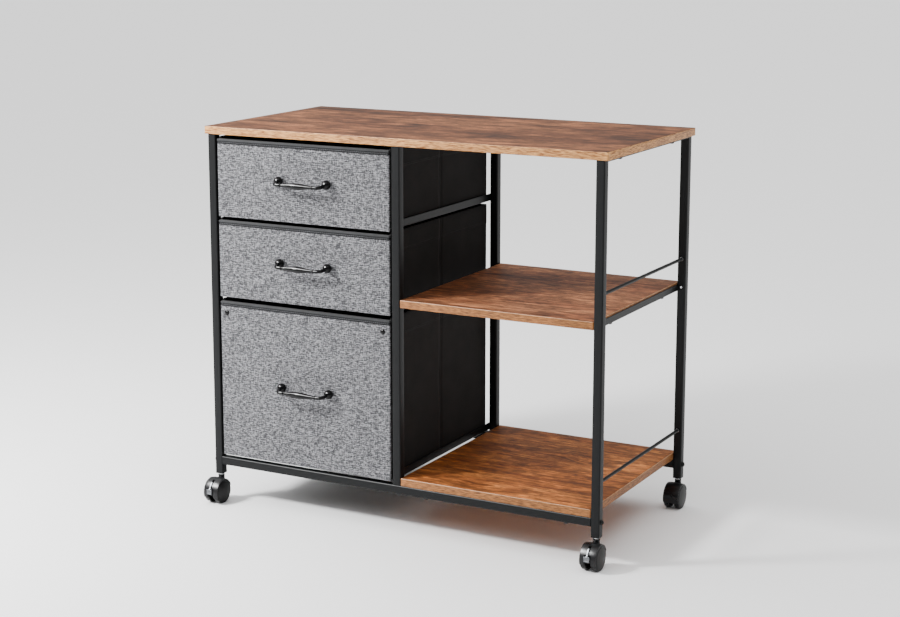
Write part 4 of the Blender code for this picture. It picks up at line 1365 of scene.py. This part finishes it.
    def build_hem_stitches(self, outline: BinOutline, floor: float, height: float) -> None:
        """A row of stitches just above the hem's lower edge, on both sides and the back.

        Args:
            outline: the bin's outside.
            floor: the height of the bin's underside.
            height: the height of its walls.
        """
        level = height - self.hem + self.hem_margin
        bend = self.relief(outline, level / height) + self.uneven(outline, level)
        path = outline.xy + outline.normal * (self.hem_proud - bend)[:, None]
        rows = []
        for nx, ny in ((1, 0), (0, 1), (-1, 0)):
            line = path[(outline.normal @ [nx, ny] > 0.999) & (np.abs(outline.side) < 1)]
            key = 1 if nx else 0
            line = line[np.argsort(line[:, key])]
            at = np.arange(line[0, key] + self.hem_margin, line[-1, key] - self.hem_margin, self.pitch)
            starts = np.empty((len(at), 3))
            starts[:, key], starts[:, 2] = at, floor + level
            starts[:, 1 - key] = np.interp(at, line[:, key], line[:, 1 - key])
            rows.append(stitches(starts, (1 - key, key, 0), (nx, ny, 0), self.stitch, self.thread_width))
        Piece(f"{self.body}_hem_stitches", self.body, "bin_felt", self.finishes.thread, rows).build()

    def build_file_rail(self, node: str) -> None:
        """A round rail from the front to the back of the bin, behind its domed head.

        Args:
            node: the rail that the turned piece stands for.
        """
        low, high = corners_of(node)
        face = corners_of(f"{self.body}_front_panel")[0][1]
        back = face - high[1]
        head = (high[0] - low[0]) / 2
        dome = quarter(1.0, 90, 8, 9) * [head, face - low[1]]
        profile = [*dome, (head, 0.0), (self.rail_radius, 0.0), (self.rail_radius, back), (0, back)]
        centre = middle_of(node)
        centre[1] = face
        rail = turned(profile, 32, centre, Axis.NEGATIVE_Y)
        Piece(f"{node}_with_head", self.body, "gloss_black", self.finishes.enamel, [rail], (node,)).build()


# Casters


@dataclass(frozen=True)
class Caster:
    """A twin-wheel caster: a crowned hood over two domed wheels, its stem, and the brake lever of some.

    Angles are in degrees about the axle, from straight up.
    """

    corner: str
    finishes: FinishSet
    braked: bool
    wheel_radius: float = 22.5 * MM
    cap_radius: float = 19.0 * MM
    hood_radius: float = 25.0 * MM
    hood_crown: float = 1.2 * MM
    hood_wall: float = 1.6 * MM
    hood_half: float = 15.0 * MM
    hood_rear: float = 72.0
    hood_front: float = 110.0
    web_half: float = 4.9 * MM
    web_boss: float = 7.5 * MM
    web_behind_notch: float = 19.0 * MM
    web_behind_slot: float = 18.8 * MM
    axle_bore: float = 2.4 * MM
    neck_radius: float = 6.25 * MM
    stem_offset: float = 14.0 * MM
    socket_radius: float = 3.7 * MM
    slot_half: float = 2.2 * MM
    slot_angles: tuple[float, float] = (22.0, 45.0)
    notch_half: float = 6.3 * MM
    notch_angle: float = 67.0
    pivot_angle: float = 37.0
    pivot_radius: float = 21.05 * MM
    lever_stand: float = 1.85 * MM
    strip_half_width: float = 1.4 * MM
    strip_half_thickness: float = 0.45 * MM
    tab_height: float = 9.5 * MM
    tab_thickness: float = 1.3 * MM
    pin_radius: float = 0.9 * MM
    pin_half: float = 4.8 * MM

    @property
    def stem_axis(self) -> Array:
        """The stem's axis at the floor."""
        return middle_of(f"{self.corner}_stem") * [1, 1, 0]

    @property
    def hub(self) -> Array:
        """The middle of the axle."""
        return middle_of(f"{self.corner}_axle")

    @property
    def swivel(self) -> str:
        """The body that turns on the stem."""
        return f"{self.corner}_swivel"

    def build(self) -> None:
        """Builds the caster from its wheels outwards."""
        for letter, side in (("a", -1), ("b", 1)):
            self.build_wheel(f"{self.corner}_wheel_{letter}", side)
        dress(f"{self.corner}_axle", self.finishes.zinc)
        self.build_hood()
        self.build_web_and_neck()
        self.build_stem()
        if self.braked:
            self.build_lever()

    def around(self, angle: Numbers, radius: Numbers, x: Numbers) -> Array:
        """Points about the axle: angle in degrees from straight up towards the front."""
        turn, radius, x = np.broadcast_arrays(np.radians(angle), radius, x)
        return self.hub + np.stack([x, -radius * np.sin(turn), radius * np.cos(turn)], axis=-1)

    def build_wheel(self, node: str, side: int) -> None:
        """A wheel turned from one closed profile: domed cap, ring groove, tread and open dish.

        The profile is in millimetres. The cap falls towards its rim as its radius to the power 2.2.

        Args:
            node: the wheel that the piece stands for.
            side: -1 where the wheel's cap faces -X and 1 where it faces +X.
        """
        ends = (np.array(corners_of(node))[:, 0] - self.hub[0]) * side / MM
        inner, cap = ends.min(), ends.max()
        outer = cap - 1.5
        r, dome_radius = self.wheel_radius / MM, self.cap_radius / MM
        t = np.linspace(0, 1, 9)
        dome = np.column_stack([dome_radius * t, cap - 1.1 * t ** 2.2])
        dome = np.insert(dome, 4, [8.9, cap - 0.18], axis=0)
        turn = np.radians([0, 22, 45, 68, 90])
        shoulder = np.column_stack([r - 1.5 + 1.5 * np.sin(turn), outer - 1.3 + 1.3 * np.cos(turn)])
        profile = [*dome, (19.3, outer - 0.2), (19.8, outer - 0.25), (20.1, outer + 0.1), *shoulder,
                   (r, inner + 0.6), (r - 0.5, inner), (r - 3.4, inner), (r - 3.7, outer - 3.2),
                   (6.2, outer - 3.5), (6.0, inner), (2.3, inner), (2.3, outer - 2.0), (0.0, outer - 2.0)]
        wheel = turned(np.array(profile) * MM, 64, self.hub, Axis.X if side > 0 else Axis.NEGATIVE_X)
        Piece(f"{node}_moulding", node, "wheel_plastic", self.finishes.wheel, [wheel], (node,), 32).build()

    def build_hood(self) -> None:
        """The fender: r(x) swept round the axle, less the lever's slot and notch, with a wall.

        The hood's outer radius falls towards its sides as x to the power 2.6.
        """
        marks = [self.slot_half, self.notch_half] if self.braked else []
        x = np.unique(np.round(np.concatenate(
            [np.linspace(-self.hood_half, self.hood_half, 27), marks, np.negative(marks)]), 6))
        edges = [*self.slot_angles, self.notch_angle] if self.braked else []
        angle = np.unique(np.concatenate([np.linspace(-self.hood_rear, self.hood_front, 73), edges]))
        radius = self.hood_radius - self.hood_crown * np.abs(x / self.hood_half) ** 2.6
        points = self.around(angle[:, None], radius, x)
        keep = None
        if self.braked:
            am = (angle[:-1, None] + angle[1:, None]) / 2
            xm = np.abs((x[None, :-1] + x[None, 1:]) / 2)
            slot = (am > self.slot_angles[0]) & (am < self.slot_angles[1]) & (xm < self.slot_half)
            notch = (am > self.notch_angle) & (xm < self.notch_half)
            keep = ~(slot | notch)[:, ::-1]
        Piece(f"{self.corner}_fender", self.swivel, "hood_plastic", self.finishes.hood,
              [Grid(points[:, ::-1], keep=keep)], (f"{self.corner}_hood",), 45,
              wall=self.hood_wall, bevel=0.3 * MM, turn_out=False).build()

    def web_reach(self, angle: Array, slotted: bool) -> Array:
        """The web's radius about the axle.

        It has full height under the fender, is drawn in behind the notch, and also behind the slot
        where it is slotted, and has a round boss below.

        Args:
            angle: degrees from straight up towards the front.
            slotted: whether this layer lies behind the lever's slot.

        Returns:
            One radius for each angle.
        """
        reach = np.full_like(angle, self.hood_radius - self.hood_wall - 0.1 * MM)
        slot, notch = self.slot_angles[0] - 2, self.notch_angle - 1
        if self.braked:
            reach[angle >= notch] = self.web_behind_notch
            if slotted:
                reach[(angle > slot) & (angle < notch)] = self.web_behind_slot
        reach[angle >= self.hood_front] = self.web_boss
        return reach

    def build_web_and_neck(self) -> None:
        """The web between the wheels, in three layers, and the socket's neck with a grooved rim."""
        angle = np.linspace(-self.hood_rear, 360 - self.hood_rear, 121)[:-1]
        bore = np.full_like(angle, self.axle_bore)
        grids = []
        for x_low, x_high, slotted in ((-self.web_half, -self.slot_half, False),
                                       (self.slot_half, self.web_half, False),
                                       (-self.slot_half, self.slot_half, True)):
            reach = self.web_reach(angle, slotted)
            rims = [self.around(angle, radius, x) for x, radius in (
                (x_low, bore), (x_low, reach), (x_high, reach), (x_high, bore))]
            grids.append(Grid(np.stack(rims), close_rows=True, close_columns=True))
        top = corners_of(f"{self.corner}_hood")[1][2] / MM
        r, hole = self.neck_radius / MM, self.socket_radius / MM
        under = math.sqrt((self.hood_radius - 1 * MM) ** 2 - self.stem_offset ** 2)
        base = (self.hub[2] + under) / MM - 5
        profile = np.array([
            (hole, top - 6), (hole, top - 0.4), (hole + 0.4, top), (r - 0.5, top), (r, top - 0.5),
            (r, top - 1.7), (r - 0.9, top - 2.1), (r - 0.9, top - 3.0), (r - 0.2, top - 3.5),
            (r, base + 3), (r, base), (hole, base)]) * MM
        neck = turned(profile, 40, self.stem_axis, Axis.Z)
        grids.append(Grid(neck.points, close_rows=True, close_columns=True))
        Piece(f"{self.corner}_web_and_neck", self.swivel, "hood_plastic", self.finishes.hood, grids,
              sharp_angle=35).build()

    def build_stem(self) -> None:
        """The stem: a pin in the socket, a chamfered collar, and the sleeve inside the post."""
        low, high = np.array(corners_of(f"{self.corner}_stem")) / MM
        post = corners_of(f"{self.corner}_post")[0][2] / MM
        top = corners_of(f"{self.corner}_hood")[1][2] / MM
        sleeve = (high[0] - low[0]) / 2
        profile = [(0, high[2]), (sleeve * 0.7, high[2]), (sleeve, high[2] - 2), (sleeve, post + 0.4),
                   (sleeve - 0.3, post + 0.1), (4.2, post + 0.05), (4.3, post - 0.4), (4.3, top + 0.7),
                   (4.0, top + 0.3), (3.3, top + 0.2), (3.3, low[2] + 0.4), (2.9, low[2]), (0, low[2])]
        stem = turned(np.array(profile) * MM, 36, self.stem_axis, Axis.Z)
        Piece(f"{self.corner}_stem_turning", "frame", "zinc", self.finishes.zinc, [stem],
              (f"{self.corner}_stem",), 30).build()

    def tab_relief(self, x: Array, z: Array) -> Array:
        """A pressed panel 0.35 mm deep in the tab's face, with two dimples above its middle.

        Args:
            x: places across the tab.
            z: places up the tab.

        Returns:
            How far the face lies in at each place.
        """
        u, v = (x - x.mean()) / MM, (z - z.mean()) / MM
        edge = np.minimum(3.6 - np.abs(u), 3.2 - np.abs(v))
        dimples = sum(np.exp(-((u - at) ** 2 + (v - 1.2) ** 2) / 0.49) for at in (-1.5, 1.5))
        return (0.35 * np.clip(edge / 0.4, 0, 1) + 0.4 * dimples) * MM

    def build_lever(self) -> None:
        """A pressed strip along its side path, with a wide tab and the pin it rocks on."""
        node = f"{self.corner}_brake_lever"
        low, high = corners_of(node)
        stand = self.hood_radius + self.lever_stand
        bends = self.pivot_angle + np.array([0, 0, 1.5, *np.linspace(4, 31, 12)])
        radii = [self.pivot_radius, self.hood_radius - 1 * MM, stand - 0.7 * MM] + 12 * [stand]
        tab_y, tab_top = low[1] + self.tab_thickness / 2, low[2] + self.tab_height
        # The side path runs from the pin out through the slot, over the hood and down behind the tab
        path = np.concatenate([self.around(bends, radii, 0.0)[:, 1:],
                               [[tab_y, tab_top + 0.2 * MM], [tab_y, tab_top - 3 * MM]]])
        tangent = np.gradient(path, axis=0)
        tangent /= np.linalg.norm(tangent, axis=1)[:, None]
        normal = tangent[:, ::-1] * [1, -1]
        section = rounded_loop(self.strip_half_width, self.strip_half_thickness, 0.2 * MM, 3)
        points = np.empty((len(path), len(section), 3))
        points[..., 0] = self.hub[0] + section[:, 0]
        points[..., 1:] = path[:, None] + section[:, 1, None] * normal[:, None]
        middle = points.mean(axis=1, keepdims=True).repeat(len(section), axis=1)
        strip = Grid(np.concatenate([middle[:1], points, middle[-1:]]), close_columns=True)
        width = (high[0] - low[0]) / 2
        tab = slab(np.array([self.hub[0] - width, low[1], low[2]]),
                   np.array([self.hub[0] + width, low[1] + self.tab_thickness, tab_top]),
                   self.strip_half_thickness, (30, 26), 1, self.tab_relief)
        r, end = self.pin_radius, self.pin_half
        pin = turned([(0, -end), (r, -end), (r, end), (0, end)], 16, np.append(self.hub[0], path[0]), Axis.X)
        Piece(f"{node}_pressing", node, "zinc", self.finishes.lever, [strip, *tab, pin], (node,), 45).build()


# Studio


@dataclass(frozen=True)
class Studio:
    """A pale floor, soft lights and the camera of the photograph.

    The photograph's upright edges are parallel, because its lens was shifted. A smaller shift is
    kept here, with a little tilt, so that the object stays in view from every side.
    """

    camera_place: Point = (1.5698, -2.9177, 1.0953)
    yaw: float = 0.49487
    pitch: float = 0.18402
    lens: float = 73.495
    shift: tuple[float, float] = (0.00836, -0.06)
    floor_colour: str = "FCFCFC"
    floor_half: float = 40.0
    surround: float = 0.45
    overhead_spread: float = 100.0

    def build(self) -> None:
        """Builds everything round the object."""
        self.build_camera()
        self.build_floor()
        self.build_lights()

    def build_camera(self) -> None:
        """Aims the camera by its yaw to the left of +Y and its pitch below the horizon."""
        data = bpy.data.cameras.new("photograph")
        data.lens = self.lens
        data.sensor_width = 36.0
        data.shift_x, data.shift_y = self.shift
        camera = bpy.data.objects.new("photograph", data)
        bpy.context.scene.collection.objects.link(camera)
        camera.matrix_world = (Matrix.Translation(self.camera_place) @ Matrix.Rotation(self.yaw, 4, "Z")
                               @ Matrix.Rotation(math.pi / 2 - self.pitch, 4, "X"))
        bpy.context.scene.camera = camera

    def build_floor(self) -> None:
        """A wide pale floor."""
        half = self.floor_half
        mesh = bpy.data.meshes.new("floor")
        mesh.from_pydata([(-half, -half, 0), (half, -half, 0), (half, half, 0), (-half, half, 0)], [],
                         [(0, 1, 2, 3)])
        mesh.materials.append(Recipe("pale_floor").finish({
            "Base Color": linear(self.floor_colour), "Roughness": 0.9}))
        floor = bpy.data.objects.new("floor", mesh)
        bpy.context.scene.collection.objects.link(floor)

    def lamp(self, name: str, kind: str, energy: float, place: Point, target: Point) -> bpy.types.Object:
        """Adds a light.

        Args:
            name: what the light is for.
            kind: the type of light.
            energy: watts, or watts for each square metre for a sun.
            place: where it stands.
            target: the point that it faces.

        Returns:
            The light's object.
        """
        lamp = bpy.data.objects.new(name, bpy.data.lights.new(name, kind))
        lamp.data.energy = energy
        lamp.location = place
        lamp.rotation_euler = (Vector(target) - Vector(place)).to_track_quat("-Z", "Y").to_euler()
        bpy.context.scene.collection.objects.link(lamp)
        return lamp

    def build_lights(self) -> None:
        """A small key, a softbox that only shows in shiny surfaces, an even overhead and a surround."""
        world = bpy.data.worlds.new("studio")
        bpy.context.scene.world = world
        world.use_nodes = True
        background = world.node_tree.nodes["Background"]
        background.inputs["Color"].default_value = linear("FFFFFF")
        background.inputs["Strength"].default_value = self.surround
        key = self.lamp("key", "AREA", 95, (-1.3, -1.35, 1.5), (-1.3, -0.1, 0.3))
        softbox = self.lamp("softbox", "AREA", 330, (-1.13, -1.35, 1.83), (-0.2, -0.25, 0.45))
        for lamp, size in ((key, (0.5, 0.25)), (softbox, (1.9, 0.7))):
            lamp.data.shape = "RECTANGLE"
            lamp.data.size, lamp.data.size_y = size
        softbox.visible_diffuse = False
        overhead = self.lamp("overhead", "SUN", 3.4, (-0.20, -0.15, 1.0), (0.0, 0.0, 0.0))
        overhead.data.angle = math.radians(self.overhead_spread)


def main() -> None:
    """Builds the cabinet in its studio."""
    logging.basicConfig(level=logging.INFO, format="%(name)s: %(message)s")
    Studio().build()
    finishes = FinishSet()
    for node, slot, face, edge, arris_finish in (
            ("top_board", "top_laminate", finishes.top_print_with_painted_shade, finishes.top_edge, finishes.top_edge),
            ("middle_shelf", "shelf_laminate", finishes.middle_print_with_painted_light, finishes.shelf_edge_with_painted_shade,
             finishes.shelf_arris_painted_highlight),
            ("bottom_shelf", "shelf_laminate", finishes.bottom_print, finishes.shelf_edge_with_painted_shade,
             finishes.shelf_arris_painted_highlight)):
        Board(node, slot, face, edge, arris_finish).build()
    SteelFrame(finishes).build()
    for seed, body in enumerate(("upper_drawer", "middle_drawer", "file_drawer")):
        FabricDrawer(body, finishes, body == "file_drawer", seed).build()
    for corner in ("front_left", "front_right", "rear_left", "rear_right"):
        Caster(corner, finishes, corner.startswith("front")).build()


if __name__ == "__main__":
    main()
